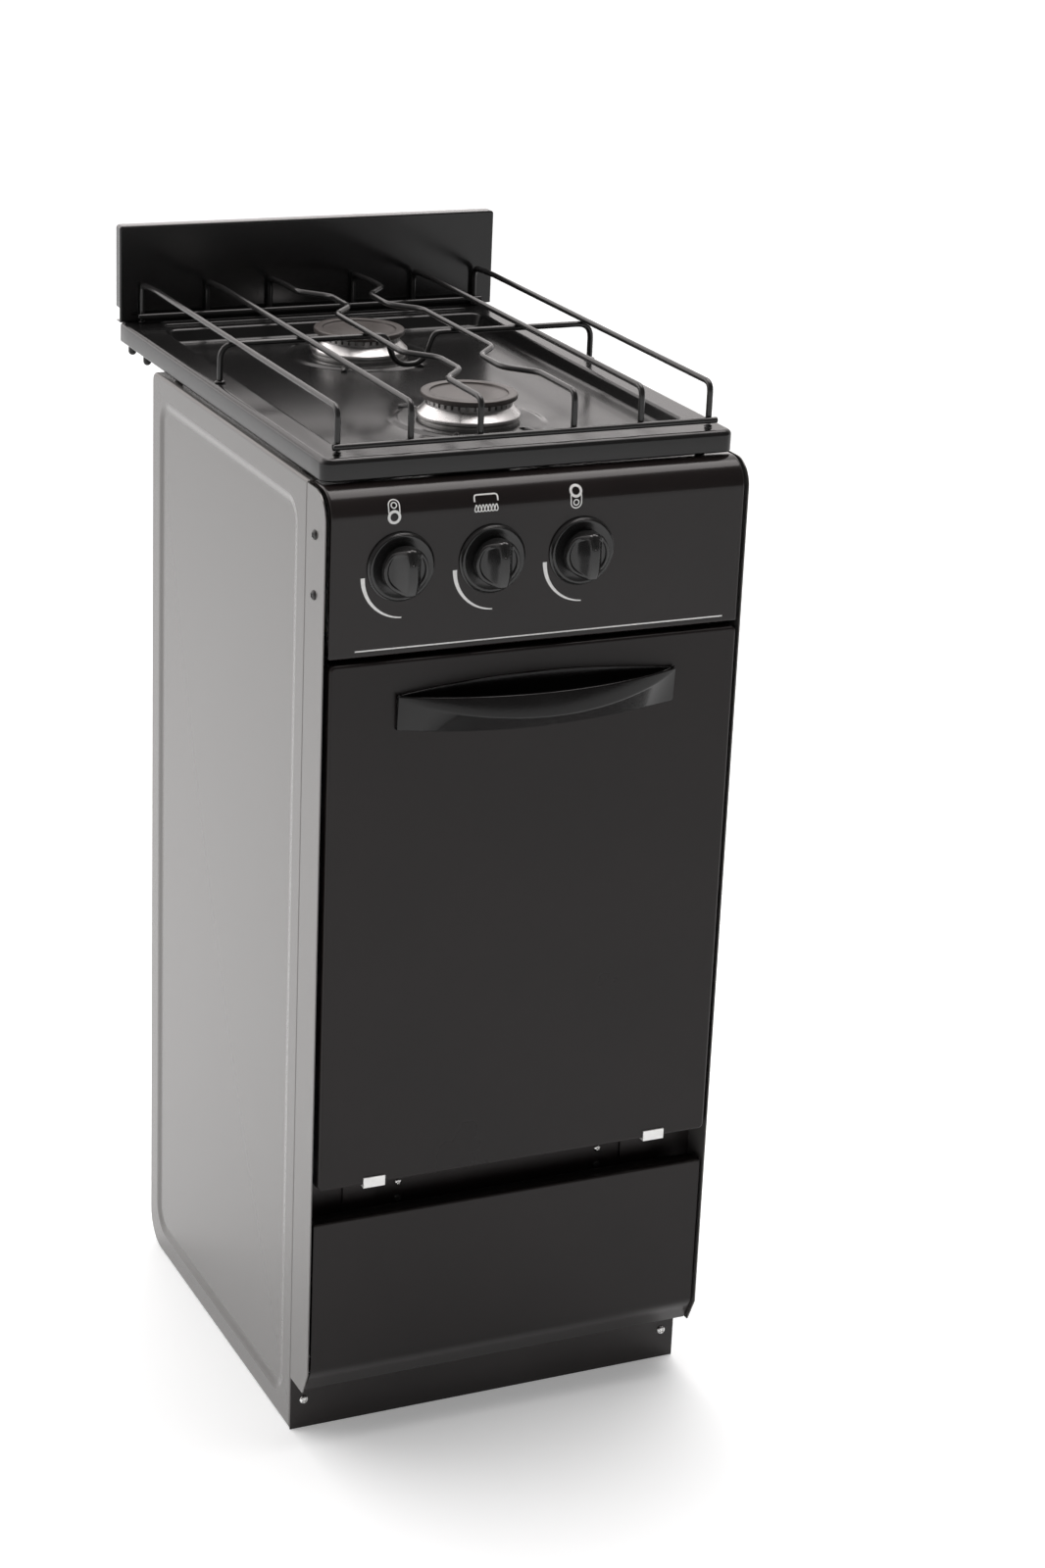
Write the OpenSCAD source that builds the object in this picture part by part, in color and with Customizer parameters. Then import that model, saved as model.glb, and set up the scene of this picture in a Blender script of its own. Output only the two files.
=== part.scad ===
// Freestanding gas range with two hob burners, an oven and a storage drawer.
// Every sheet-metal panel, casting, pipe, knob and screw is its own solid.
// The cabinet is drawn with its front plane at y = 0 and its base at z = 0;
// place() then moves it so that the origin is under the middle of the whole range.
// +X is to the right of somebody facing the range, +Y is towards the back, +Z is up.

/* [Cabinet] */
// Width over the two side panels
cab_w = 362; // [330:1:450]
// Depth of the side panels
cab_d = 370; // [330:1:450]
// Height of the side panels
cab_h = 830; // [760:1:960]
// Thickness of the pressed steel sheet
sheet = 1; // [0.8:0.1:1.5]
// Width of the flanges folded inwards on the side panels
side_flange = 15; // [12:1:20]
// Radius of the lower rear corner of a side panel
side_corner_r = 30; // [10:1:40]
// Height of the kick plate
kick_h = 50; // [40:1:70]
// How far the front posts stand forward of the side panels
post_depth = 38.5; // [34:0.5:45]

/* [Hob] */
// How far the hob's sides sit inside the cabinet's sides
hob_inset = 5; // [0:1:10]
// Depth of the hob
hob_d = 500; // [460:1:580]
// How far the hob stands forward of the cabinet
hob_front = 19; // [14:1:24]
// Height of the hob's rim
rim_h = 18; // [14:1:24]
// Gap between the cabinet and the hob's rim
hob_gap = 2; // [1.5:0.5:4]
// Depth of the pressed basin below the rim
basin_depth = 12; // [8:1:14]
// Width of the flat rim beside the basin
rim_w = 23; // [18:1:30]
// Height of the splashback above the hob
splash_h = 85; // [60:1:140]
// Depth of the splashback's folded edges
splash_fold = 11; // [8:1:13]

/* [Burners and grate] */
// Radius of a burner cap
cap_r = 39.5; // [32:0.5:44]
// Radius of a burner crown at its lower rim
crown_r = 42.5; // [38:0.5:47]
// Distance between the two burners
burner_pitch = 239; // [190:1:260]
// Number of flame ports in a burner crown
port_count = 36; // [24:1:40]
// Diameter of the grate's wire
wire_d = 5; // [4:0.5:6]
// Height of the grate's top wires above the hob's rim
grate_h = 36; // [30:1:45]

/* [Controls] */
// Distance between neighbouring knobs
knob_pitch = 76.5; // [66:0.5:90]
// Radius of a knob
knob_r = 18.5; // [15:0.5:20]
// Radius of the round bezel behind a knob
bezel_r = 27.8; // [24:0.2:30]
// How far a knob is pushed in before it turns
knob_travel = 3; // [2:0.5:3.5]
// Radius of a tap's spindle
spindle_r = 4; // [3:0.5:5]

/* [Oven and door] */
// Width of the oven cavity
oven_w = 292; // [250:1:296]
// Depth of the oven cavity
oven_d = 320; // [270:1:325]
// Height of the door
door_h = 450; // [430:1:470]
// Thickness of the door from face to back
door_t = 31; // [28:1:32]
// Length of the door handle
handle_w = 240; // [180:1:260]
// How far the handle stands out from the door
handle_reach = 33; // [26:1:40]
// Radius of a hinge pin
pin_r = 2.5; // [2:0.1:3]

/* [Drawer] */
// Height of the gap between the drawer front and the door
drawer_gap = 32; // [28:1:38]
// Width of the drawer's tray
tray_w = 316; // [280:1:320]
// Depth of the drawer's tray
tray_d = 330; // [270:1:335]
// Height of the drawer's tray
tray_h = 110; // [60:1:120]

/* [Hidden] */
$fn = 48;
// a hair of overlap that keeps cuts clean
eps = 0.01;
// half widths: outside of the cabinet, inside of its sheet
half = cab_w / 2;
inside = half - sheet;
// field pressed into each side: margin round it, corner radius, depth, and half width between the fields
field_margin = 24;
field_r = 20;
field_depth = 1;
field_x = inside - field_depth;
// heights of the hob: top of its rim, lower edge of its rim, floor of its basin
hob_z = cab_h + hob_gap + rim_h;
rim_z = cab_h + hob_gap;
basin_z = hob_z - basin_depth;
hob_w = cab_w - 2 * hob_inset;
hob_back = hob_d - hob_front;
hob_sheet = 1.2;
// the basin stops short of a ledge that carries the splashback
ledge_w = 46;
basin_front = rim_w - hob_front + 12;
basin_back = hob_back - ledge_w;
splash_y = hob_back - splash_fold - 2;
// places of the plugs along the hob's overhang behind the cabinet
plug_shares = [0.45, 0.82];
// burner places along Y, measured from the front of the basin
burner_front_y = basin_front + 94;
burner_ys = [burner_front_y, burner_front_y + burner_pitch];
cup_r = crown_r - 8;
cup_drop = 36;
jet_drop = 28;
ring_r = crown_r + 22;
// the grate stands on the rim and its legs follow the basin
wire_r = wire_d / 2;
grate_z = hob_z + grate_h;
grate_front = -4;
grate_back = hob_back - 17;
bar_z = hob_z + wire_r + 4;
// half spacings of the three pairs of long wires, and of the kink at a burner
wire_xs = [hob_w / 2 - 17, hob_w / 2 - 77.5, 40];
kink_x = 18;
kink_half = 21;
kink_run = 25;
// length over which a kinked wire comes down to the height of the others at the rear
rear_fall_run = 40;
cross_y = (burner_ys[0] + burner_ys[1]) / 2 + 6;
kick_screw_z = 27;
// clearances: beside the door and drawer, between flat sliding faces, around a shaft
side_gap = 4;
slide_gap = 0.4;
shaft_gap = 0.05;
// door, measured from its front face
door_y = -42;
door_z = 243;
door_top = door_z + door_h;
door_half = inside - side_gap;
door_back = door_y + door_t;
inner_half = door_half - sheet;
hinge_y = -22;
hinge_z = door_z + 3;
barrel_r = 5;
hinge_x = 127.5;
hinge_w = 19;
// handle on the upper part of the door
handle_z = door_top - 43;
handle_screw_z = handle_z - 7;
handle_screw_x = handle_w / 2 - 22;
handle_h = 28;
handle_end = 5;
handle_bulge = 9;
// radius of the bowed front in plan, from its chord and rise
handle_bow_r = (pow(handle_w / 2, 2) + pow(handle_reach - handle_end, 2)) / (2 * (handle_reach - handle_end));
// control panel above the door
panel_y = -40;
panel_z = door_top + 4;
panel_roll_r = 23;
panel_half = inside - 3.5;
panel_top = cab_h;
knob_z = panel_z + 71;
knob_xs = [for (i = [0:2]) -119 + i * knob_pitch];
bezel_t = 4;
knob_back = panel_y - bezel_t - knob_travel - 0.5;
knob_t = 19;
// drawer front under the gap
drawer_y = -37;
drawer_top = door_z - drawer_gap;
drawer_half = inside - 2.5;
drawer_chamfer = 22;
tray_z = kick_h + 8;
tray_front = drawer_y + 14;
// oven shell: bottom of the burner space, cavity floor and roof
liner_z = 224;
oven_floor_z = 262;
liner_top = panel_z - 17;
liner_half = oven_w / 2 + sheet;
liner_back = oven_d + sheet;
jacket_t = 18;
guide_zs = [330, 430, 530];
oven_jet_r = 11;
// flue at the back of the oven
flue_half = 45;
flue_t = 22;
flue_z = liner_top - 60;
// lower rail in the gap between door and drawer
rail_y = -9;
rail_z = 196;
rail_h = 40;
// gas parts under the hob
tap_y = -12;
tap_len = 46;
manifold_y = 40;
manifold_r = 8;
inlet_r = 10.5;
inlet_neck_r = 9;
inlet_x = inside - 30;
tube_r = 3;

// ---------- helpers ----------

// move the finished range so that the origin is under its middle
module place() translate([0, -(hob_back + door_y - handle_reach) / 2, 0]) children();

// the corner of a rectangle that a fillet of radius r takes away
module corner_cut(r) difference() {
  translate([-eps, -eps]) square(r + eps);
  translate([r, r]) circle(r);
}

// rectangle w by h from the origin with its own radius at each corner
module soft_rect(w, h, bl = 0, br = 0, tr = 0, tl = 0) difference() {
  square([w, h]);
  if (bl > 0) corner_cut(bl);
  if (br > 0) translate([w, 0]) mirror([1, 0]) corner_cut(br);
  if (tr > 0) translate([w, h]) rotate(180) corner_cut(tr);
  if (tl > 0) translate([0, h]) mirror([0, 1]) corner_cut(tl);
}

// box given by its lowest and highest corners
module span(lo, hi) translate(lo) cube(hi - lo);

// outline in (y, z) pushed along X from x0 to x1
module along_x(x0, x1) translate([x0, 0, 0]) rotate([90, 0, 90]) linear_extrude(x1 - x0) children();

// outline in (x, z) pushed along Y from y0 to y1
module along_y(y0, y1) translate([0, y1, 0]) rotate([90, 0, 0]) linear_extrude(y1 - y0) children();

// both sides of a symmetric pair
module both_sides() {
  children();
  mirror([1, 0, 0]) children();
}

// round bar from a to b
module bar(a, b, r) {
  d = b - a;
  flat = norm([d[0], d[1]]);
  translate(a) rotate([0, atan2(flat, d[2]), atan2(d[1], d[0])]) cylinder(r = r, h = norm(d));
}

// bent wire or pipe through a list of points, with a ball a little fatter than the wire at each bend
module bent_bar(points, r) {
  for (i = [0:len(points) - 2]) bar(points[i], points[i + 1], r);
  if (len(points) > 2) for (i = [1:len(points) - 2]) translate(points[i]) sphere(r * 1.04);
}

// pan head screw along +Y with its head's underside at the origin
module screw(head_r, head_h, shank_r, shank_l) {
  rotate([90, 0, 0]) cylinder(r = head_r, h = head_h);
  rotate([-90, 0, 0]) cylinder(r = shank_r, h = shank_l);
}

// clearance hole for a screw, through one sheet in the direction of Y
module screw_hole() rotate([90, 0, 0]) cylinder(r = 2.2, h = 6, center = true);

// ---------- cabinet ----------

// outline of a side panel in (y, z), set in by a margin
module side_outline(m) translate([m, m])
  soft_rect(cab_d - 2 * m, cab_h - 2 * m, br = side_corner_r - m, tr = 8 - min(m, 4));

// outline of the field in a side panel, set in by a margin
module field_outline(m) translate([m, m])
  soft_rect(cab_d - 2 * m, cab_h - 2 * m, field_r, field_r + 4, field_r, field_r);

// left or right side: pressed sheet with folded flanges and a field pressed inwards
module side_panel() difference() {
  union() {
    along_x(inside, half) side_outline(0);
    along_x(field_x, inside + eps) field_outline(field_margin - sheet);
    along_x(half - side_flange, inside + eps) difference() {
      side_outline(0);
      side_outline(sheet);
    }
  }
  along_x(half - field_depth, half + 1) field_outline(field_margin);
  translate([half - 12, 0, kick_screw_z]) screw_hole();
  for (p = back_screw_places()) translate([p[0], cab_d, p[1]]) screw_hole();
}
module side_panel_right() color("#2b2a29") side_panel();
module side_panel_left() color("#2b2a29") mirror([1, 0, 0]) side_panel();

// outline in (y, z) that the post and the control panel share: straight front and rolled top
module front_outline(y_front, z_low, r, z_top) intersection() {
  union() {
    translate([y_front, z_low]) square([-y_front, z_top - r - z_low]);
    translate([y_front + r, z_top - r]) circle(r);
    translate([y_front + r, z_low]) square([-y_front - r, z_top - z_low]);
  }
  translate([y_front, z_low]) square([-y_front, z_top - z_low]);
}

// front post: a leaf that stands forward, and a leaf folded inwards that covers the side's flange
module post() difference() {
  union() {
    along_x(inside, half) difference() {
      front_outline(-post_depth, kick_h, 22, cab_h - 1.5);
      polygon([[-post_depth - 1, kick_h - 1], [-post_depth - 1, kick_h + 23],
        [-post_depth, kick_h + 23], [-27.5, kick_h], [-27.5, kick_h - 1]]);
    }
    span([half - side_flange, -sheet, kick_h], [inside + eps, 0, cab_h - 1.5]);
  }
  for (z = post_screw_zs()) translate([inside - 1, -18, z]) rotate([0, 90, 0]) cylinder(r = 2.2, h = 4);
}
module post_right() color("#242323") post();
module post_left() color("#242323") mirror([1, 0, 0]) post();
function post_screw_zs() = [panel_z + 47, panel_z + 95];

// places of the four screws in the back panel
function back_screw_places() = [for (sx = [-1, 1]) for (z = [80, cab_h - 60]) [sx * (half - 9), z]];

module back_panel() color("#3a3a3a") difference() {
  span([-inside, cab_d - 2 * sheet, kick_h + 2 * sheet], [inside, cab_d - sheet, basin_z - cup_drop - 2]);
  for (p = back_screw_places()) translate([p[0], cab_d - sheet, p[1]]) screw_hole();
  span([-flue_half - 1, cab_d - 3 * sheet, flue_z - 1], [flue_half + 1, cab_d, flue_z + flue_t + 1]);
  translate([inlet_x, cab_d, knob_z]) rotate([90, 0, 0]) cylinder(r = inlet_neck_r + 1, h = 5);
}

module base_pan() color("#3a3a3a") {
  span([-field_x, sheet, kick_h], [field_x, cab_d - sheet, kick_h + sheet]);
  both_sides() span([field_x - sheet, side_flange, kick_h - 12], [field_x, cab_d - 45, kick_h + eps]);
}

module kick_plate() color("#1d1c1c") difference() {
  union() {
    span([-half, -sheet, 0], [half, 0, kick_h]);
    for (z = [0, kick_h - sheet])
      span([-half + side_flange + 1, -eps, z], [half - side_flange - 1, side_flange, z + sheet]);
  }
  both_sides() translate([half - 12, 0, kick_screw_z]) screw_hole();
}

// channel in the gap between the door and the drawer; it carries the door's hinges
module cross_rail_lower() color("#151515") difference() {
  union() {
    span([-inside, rail_y, rail_z], [inside, rail_y + sheet, rail_z + rail_h]);
    for (z = [rail_z, rail_z + rail_h - sheet])
      span([-inside, rail_y + eps, z], [inside, -sheet, z + sheet]);
  }
  for (p = rail_screw_places()) translate([p[0], rail_y, p[1]]) screw_hole();
}
function rail_screw_places() = [for (sx = [-1, 1]) for (z = [rail_z + 12, rail_z + 27]) [sx * 92, z]];

module cross_rail_upper() color("#151515") {
  span([-half + side_flange, -sheet, liner_top + 1], [half - side_flange, 0, panel_z + 10]);
  span([-half + side_flange, -12, panel_z + 10 - sheet], [half - side_flange, -sheet + eps, panel_z + 10]);
}

// ---------- hob ----------

module hob_outline(m) translate([-hob_w / 2 + m, -hob_front + m])
  soft_rect(hob_w - 2 * m, hob_d - 2 * m, 9 - m, 9 - m, 9 - m, 9 - m);

module basin_outline(m) translate([-hob_w / 2 + rim_w + m, basin_front + m])
  soft_rect(hob_w - 2 * rim_w - 2 * m, basin_back - basin_front - 2 * m, 16 - m, 16 - m, 16 - m, 16 - m);

// pressed sheet: rim, sunken basin with a raised ring round each burner, ribs on the rear ledge
module hob_tray() color("#0c0c0c") difference() {
  union() {
    translate([0, 0, rim_z]) linear_extrude(rim_h) difference() {
      hob_outline(0);
      hob_outline(hob_sheet);
    }
    translate([0, 0, rim_z]) linear_extrude(hob_sheet) difference() {
      hob_outline(0);
      hob_outline(14);
    }
    translate([0, 0, hob_z - hob_sheet]) linear_extrude(hob_sheet) difference() {
      hob_outline(0);
      basin_outline(0);
    }
    translate([0, 0, basin_z - hob_sheet]) linear_extrude(basin_depth + hob_sheet) difference() {
      basin_outline(-hob_sheet);
      basin_outline(0);
    }
    translate([0, 0, basin_z - hob_sheet]) linear_extrude(hob_sheet) basin_outline(0);
    for (y = burner_ys) translate([0, y, basin_z]) rotate_extrude()
      polygon([[cup_r, -hob_sheet], [ring_r, -hob_sheet], [ring_r, 0], [ring_r - 8, 2], [cup_r, 2]]);
    for (dy = [14, 26]) translate([-hob_w / 2 + 32, hob_back - ledge_w + dy - 4, hob_z - eps])
      linear_extrude(1.5) soft_rect(hob_w - 64, 5, 2.4, 2.4, 2.4, 2.4);
  }
  for (y = burner_ys) translate([0, y, basin_z - 5]) cylinder(r = cup_r + 0.5, h = 10);
}

// spacers between the side panels' upper flanges and the hob's folded rim
module hob_pads() color("#111111") both_sides() for (y = [30, cab_d - 40])
  translate([half - 11, y, cab_h]) cylinder(r = 4, h = hob_gap);

// push-in plugs under the hob where it overhangs the cabinet at the rear
module rim_plugs() color("#0a0a0a") both_sides() for (share = plug_shares)
  translate([hob_w / 2 - 7, cab_d + share * (hob_back - cab_d), rim_z - 6]) {
    cylinder(r = 3.5, h = 6);
    sphere(3.5);
  }

module splashback() color("#0c0c0c") {
  w = hob_w + 4;
  span([-w / 2, splash_y, hob_z], [w / 2, splash_y + sheet, hob_z + splash_h]);
  span([-w / 2, splash_y, hob_z + splash_h - sheet], [w / 2, splash_y + splash_fold, hob_z + splash_h]);
  span([-w / 2 + 6, splash_y, hob_z], [w / 2 - 6, splash_y + splash_fold, hob_z + sheet]);
  both_sides() span([w / 2 - sheet, splash_y, hob_z + 14], [w / 2, splash_y + splash_fold, hob_z + splash_h]);
}

// ---------- burners ----------

// cast cup that hangs through the hob on its flange, with a mixing bore and a side port
module burner_cup(y) color("#b9babc") translate([0, y, basin_z]) difference() {
  union() {
    translate([0, 0, 2]) cylinder(r = crown_r - 1.5, h = 2);
    translate([0, 0, -24]) cylinder(r = cup_r - 1, h = 26 + eps);
    translate([0, 0, -cup_drop]) cylinder(r = 11, h = 14);
  }
  translate([0, 0, -20]) cylinder(r = cup_r - 4, h = 30);
  translate([0, 0, -32]) cylinder(r = 5, h = 40);
  translate([0, 0, -jet_drop]) rotate([90, 0, 0]) cylinder(r = 2.5, h = 60, center = true);
}

// flared aluminium ring with a row of flame ports
module burner_crown(y) color("#e6e6e6") translate([0, y, basin_z + 4]) difference() {
  rotate_extrude() polygon([[cup_r - 4, 0], [crown_r, 0], [crown_r, 3], [cap_r - 4, 11], [cap_r - 4, 16],
    [cap_r - 9, 16], [cap_r - 9, 8], [cup_r - 4, 4]]);
  for (i = [0:port_count - 1]) rotate(i * 360 / port_count)
    translate([cap_r - 12, -0.9, 12.5]) cube([12, 1.8, 4]);
}

// flat enamelled lid with a stepped ring on top
module burner_cap(y) color("#4a4543") translate([0, y, basin_z + 20]) rotate_extrude()
  polygon([[0, -3], [cap_r - 10, -3], [cap_r - 10, 0], [cap_r, 0], [cap_r, 3], [cap_r - 1.2, 4.5],
    [cap_r - 7, 4.5], [cap_r - 8.5, 3.2], [0, 3.2]]);

module burner_cup_front() burner_cup(burner_ys[0]);
module burner_cup_rear() burner_cup(burner_ys[1]);
module burner_crown_front() burner_crown(burner_ys[0]);
module burner_crown_rear() burner_crown(burner_ys[1]);
module burner_cap_front() burner_cap(burner_ys[0]);
module burner_cap_rear() burner_cap(burner_ys[1]);

// sheet bridges between the side panels that hold the burner cups from below
module burner_rails() color("#77787a") for (y = burner_ys) difference() {
  union() {
    span([-field_x, y - 16, basin_z - cup_drop - sheet], [field_x, y + 16, basin_z - cup_drop]);
    both_sides() span([field_x - sheet, y - 16, basin_z - cup_drop - 16], [field_x, y + 16, basin_z - cup_drop]);
  }
  translate([0, y, basin_z - cup_drop - 4]) cylinder(r = 4, h = 10);
}

// ---------- grate ----------

// long wire at x with its legs down to foot_z: kinked towards the middle over each burner if kinked
function long_wire(x, kinked, foot_z) = concat(
  [[x, grate_front, foot_z], [x, grate_front, grate_z]],
  kinked ? [for (y = burner_ys) for (s = [[-kink_half - kink_run, x], [-kink_half, sign(x) * kink_x],
    [kink_half, sign(x) * kink_x], [kink_half + kink_run, x]]) [s[1], y + s[0], grate_z]] : [],
  kinked ? [[x, grate_back - rear_fall_run, grate_z]] : [],
  [[x, grate_back, grate_z - 2], [x, grate_back, foot_z]]);

// one welded rack: six long wires, a bar across the legs at each end, and a bridge with its own feet
module grate() color("#141414") {
  weld = 0.5;
  foot_z = hob_z + slide_gap;
  cross_x = hob_w / 2 - 8;
  cross_z = grate_z - wire_d + weld;
  for (sx = [-1, 1]) for (i = [0:2])
    bent_bar(long_wire(sx * wire_xs[i], i == 2, i == 0 ? foot_z : bar_z - 1), wire_r);
  for (y = [grate_front - wire_d + weld, grate_back - wire_d + weld])
    bar([-wire_xs[0] - 5, y, bar_z], [wire_xs[0] + 5, y, bar_z], wire_r);
  bent_bar([[-cross_x, cross_y, foot_z], [-cross_x, cross_y, cross_z - 10],
    [-cross_x + 10, cross_y, cross_z], [-22, cross_y, cross_z], [-14, cross_y, cross_z - 12],
    [-5, cross_y, cross_z - 26], [5, cross_y, cross_z - 26], [14, cross_y, cross_z - 12],
    [22, cross_y, cross_z], [cross_x - 10, cross_y, cross_z], [cross_x, cross_y, cross_z - 10],
    [cross_x, cross_y, foot_z]], wire_r);
}

// ---------- controls ----------

// rolled sheet with a folded lower edge and two folded ends
module control_panel() color("#1f1d1d") difference() {
  union() {
    along_x(-panel_half, panel_half) difference() {
      front_outline(panel_y, panel_z, panel_roll_r, panel_top);
      translate([sheet, sheet]) front_outline(panel_y, panel_z, panel_roll_r, panel_top - 2 * sheet);
      translate([-22, panel_z - sheet]) square([30, 3 * sheet]);
    }
    both_sides() along_x(panel_half - sheet, panel_half) intersection() {
      front_outline(panel_y, panel_z, panel_roll_r, panel_top);
      translate([panel_y, panel_z + 14]) square([30, panel_top - panel_z - 14]);
    }
  }
  for (x = knob_xs) translate([x, 0, knob_z]) rotate([90, 0, 0]) cylinder(r = spindle_r + 3, h = 60);
  both_sides() for (z = post_screw_zs()) translate([panel_half - 3, -18, z]) rotate([0, 90, 0])
    cylinder(r = 2.2, h = 5);
}

module knob_bezels() color("#161616") for (x = knob_xs) translate([x, panel_y, knob_z])
  rotate([90, 0, 0]) difference() {
    union() {
      cylinder(r = bezel_r, h = bezel_t - 1.5);
      cylinder(r = bezel_r - 2, h = bezel_t);
    }
    translate([0, 0, -1]) cylinder(r = spindle_r + 4, h = bezel_t + 2);
  }

// round skirt with a grip bar across it, bored for the spindle
module knob(i) color("#0e0e0e") translate([knob_xs[i], knob_back, knob_z]) rotate([90, 0, 0])
  difference() {
    union() {
      cylinder(r = knob_r, h = 6);
      intersection() {
        cylinder(r = knob_r, h = knob_t);
        translate([-5, -knob_r, 0]) cube([10, 2 * knob_r, knob_t]);
      }
    }
    translate([0, 0, -1]) cylinder(r = spindle_r + slide_gap, h = 13);
  }
module knob_left() knob(0);
module knob_center() knob(1);
module knob_right() knob(2);

// spindle: from the bottom of the knob's bore into the tap
module spindle(i) color("#c8b27a") translate([knob_xs[i], knob_back - 12, knob_z]) rotate([-90, 0, 0])
  cylinder(r = spindle_r, h = tap_y + 32 - knob_back + 12);
module spindle_left() spindle(0);
module spindle_center() spindle(1);
module spindle_right() spindle(2);

// ring that takes the tap's spring and travels in with the spindle
module thrust_ring(i) color("#c8b27a") translate([knob_xs[i], tap_y - knob_travel - 4, knob_z])
  rotate([-90, 0, 0]) difference() {
    cylinder(r = spindle_r + 4, h = 3);
    translate([0, 0, -1]) cylinder(r = spindle_r + shaft_gap, h = 5);
  }
module thrust_ring_left() thrust_ring(0);
module thrust_ring_center() thrust_ring(1);
module thrust_ring_right() thrust_ring(2);

// tap bodies clamped to the manifold, each bored for its spindle
module gas_taps() color("#c9a24a") for (x = knob_xs) translate([x, tap_y, knob_z]) difference() {
  union() {
    rotate([-90, 0, 0]) cylinder(r = 11, h = tap_len - 2);
    span([-8, tap_len - 16, -14], [8, tap_len + 1, 14]);
    mirror([0, 0, x == knob_xs[1] ? 1 : 0]) translate([0, 22, 8]) cylinder(r = 5, h = 10);
  }
  translate([0, -1, 0]) rotate([-90, 0, 0]) cylinder(r = spindle_r + shaft_gap, h = 38);
  translate([0, manifold_y - tap_y, 0]) rotate([0, 90, 0]) cylinder(r = manifold_r, h = 60, center = true);
}

// supply pipe along the taps and back to the inlet
module gas_manifold() color("#8f9092") difference() {
  bent_bar([[knob_xs[0] - 18, manifold_y, knob_z], [inlet_x, manifold_y, knob_z],
    [inlet_x, cab_d - 20, knob_z]], manifold_r);
  translate([inlet_x, cab_d - 60, knob_z]) rotate([-90, 0, 0]) cylinder(r = manifold_r - 2, h = 60);
}

// nipple that the gas supply screws onto, behind the back panel
module gas_inlet() color("#c9a24a") translate([inlet_x, cab_d - 20, knob_z]) rotate([-90, 0, 0])
  difference() {
    union() {
      cylinder(r = inlet_neck_r, h = 24);
      translate([0, 0, 22]) cylinder(r = 13, h = 8, $fn = 6);
      translate([0, 0, 30]) cylinder(r = inlet_r, h = 22);
    }
    translate([0, 0, -1]) cylinder(r = manifold_r - 2, h = 60);
  }

// pipes from the outer taps up to the two burner cups
module burner_tubes() color("#d0d0d0") for (i = [0, 1]) {
  y = burner_ys[i];
  x = knob_xs[2 * i];
  z = knob_z + 18;
  end_z = basin_z - jet_drop;
  difference() {
    bent_bar([[x, tap_y + 22, z], [x, tap_y + 22, z + 8], [x, y - 30, z + 8], [0, y - 30, z + 8],
      [0, y - 30, end_z], [0, y - 11, end_z]], 2.4);
    translate([0, y, basin_z - cup_drop]) cylinder(r = 11, h = 14);
  }
}

// pipe from the middle tap round the oven to its burner
module tube_oven() color("#d0d0d0") {
  side_x = -(inside + oven_w / 2 + sheet + jacket_t) / 2;
  difference() {
    bent_bar([[knob_xs[1], tap_y + 22, knob_z - 18], [knob_xs[1], tap_y + 22, knob_z - 30],
      [side_x, tap_y + 22, knob_z - 30], [side_x, 60, liner_z - 14], [0, 60, liner_z - 14]], tube_r);
    translate([0, 60, liner_z - 20]) cylinder(r = oven_jet_r - slide_gap, h = 36);
  }
}

// ---------- oven ----------

// folded box, open at the front, with a flange round its mouth
module oven_liner() color("#55565a") difference() {
  union() {
    span([-liner_half, 0, liner_z - sheet], [liner_half, liner_back, liner_top + sheet]);
    span([side_flange - half, 0, liner_z - sheet], [half - side_flange, sheet, panel_z + 6]);
  }
  span([-oven_w / 2, sheet, liner_z], [oven_w / 2, oven_d, liner_top]);
  span([-oven_w / 2, -1, oven_floor_z], [oven_w / 2, 2 * sheet, liner_top]);
  translate([0, 60, liner_z - 5]) cylinder(r = oven_jet_r, h = 10);
  span([-flue_half + sheet, oven_d - 1, flue_z + sheet], [flue_half - sheet, liner_back + 1, flue_z + flue_t - sheet]);
}

// loose plate over the burner with slots along both sides
module oven_floor() color("#6a6b6e") difference() {
  span([-oven_w / 2, sheet, oven_floor_z - sheet], [oven_w / 2, oven_d, oven_floor_z]);
  both_sides() for (i = [0:7]) translate([oven_w / 2 - 32, 30 + i * 34, oven_floor_z - 3])
    linear_extrude(5) soft_rect(20, 9, 4, 4, 4, 4);
}

// tube burner with a row of ports on each side and a mixing neck through the liner's floor
module oven_burner() color("#8a8b8e") difference() {
  union() {
    translate([0, 40, liner_z + 16]) rotate([-90, 0, 0]) cylinder(r = 11, h = 240);
    translate([0, 60, liner_z - 20]) cylinder(r = oven_jet_r - slide_gap, h = 36);
    translate([0, 60, liner_z]) cylinder(r = oven_jet_r + 5, h = 2);
    span([-8, 248, liner_z], [8, 252, liner_z + 8]);
  }
  translate([0, 44, liner_z + 16]) rotate([-90, 0, 0]) cylinder(r = 9.5, h = 232);
  translate([0, 60, liner_z - 8]) cylinder(r = 8, h = 24);
  translate([0, 60, liner_z - 21]) cylinder(r = 1, h = 15);
  for (i = [0:13]) translate([0, 88 + i * 14, liner_z + 16]) rotate([0, 90, 0])
    cylinder(r = 1.5, h = 30, center = true);
}

// three ledges on each wall of the oven
module rack_guides() color("#9a9b9e") both_sides() {
  for (z = guide_zs) {
    span([oven_w / 2 - 9, 12, z], [oven_w / 2, oven_d - 20, z + 2]);
    span([oven_w / 2 - 2, 12, z - 8], [oven_w / 2, oven_d - 20, z + 2]);
  }
  for (y = [60, oven_d - 70]) span([oven_w / 2 - 2, y, guide_zs[0] - 8], [oven_w / 2, y + 12, guide_zs[2]]);
}

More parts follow.
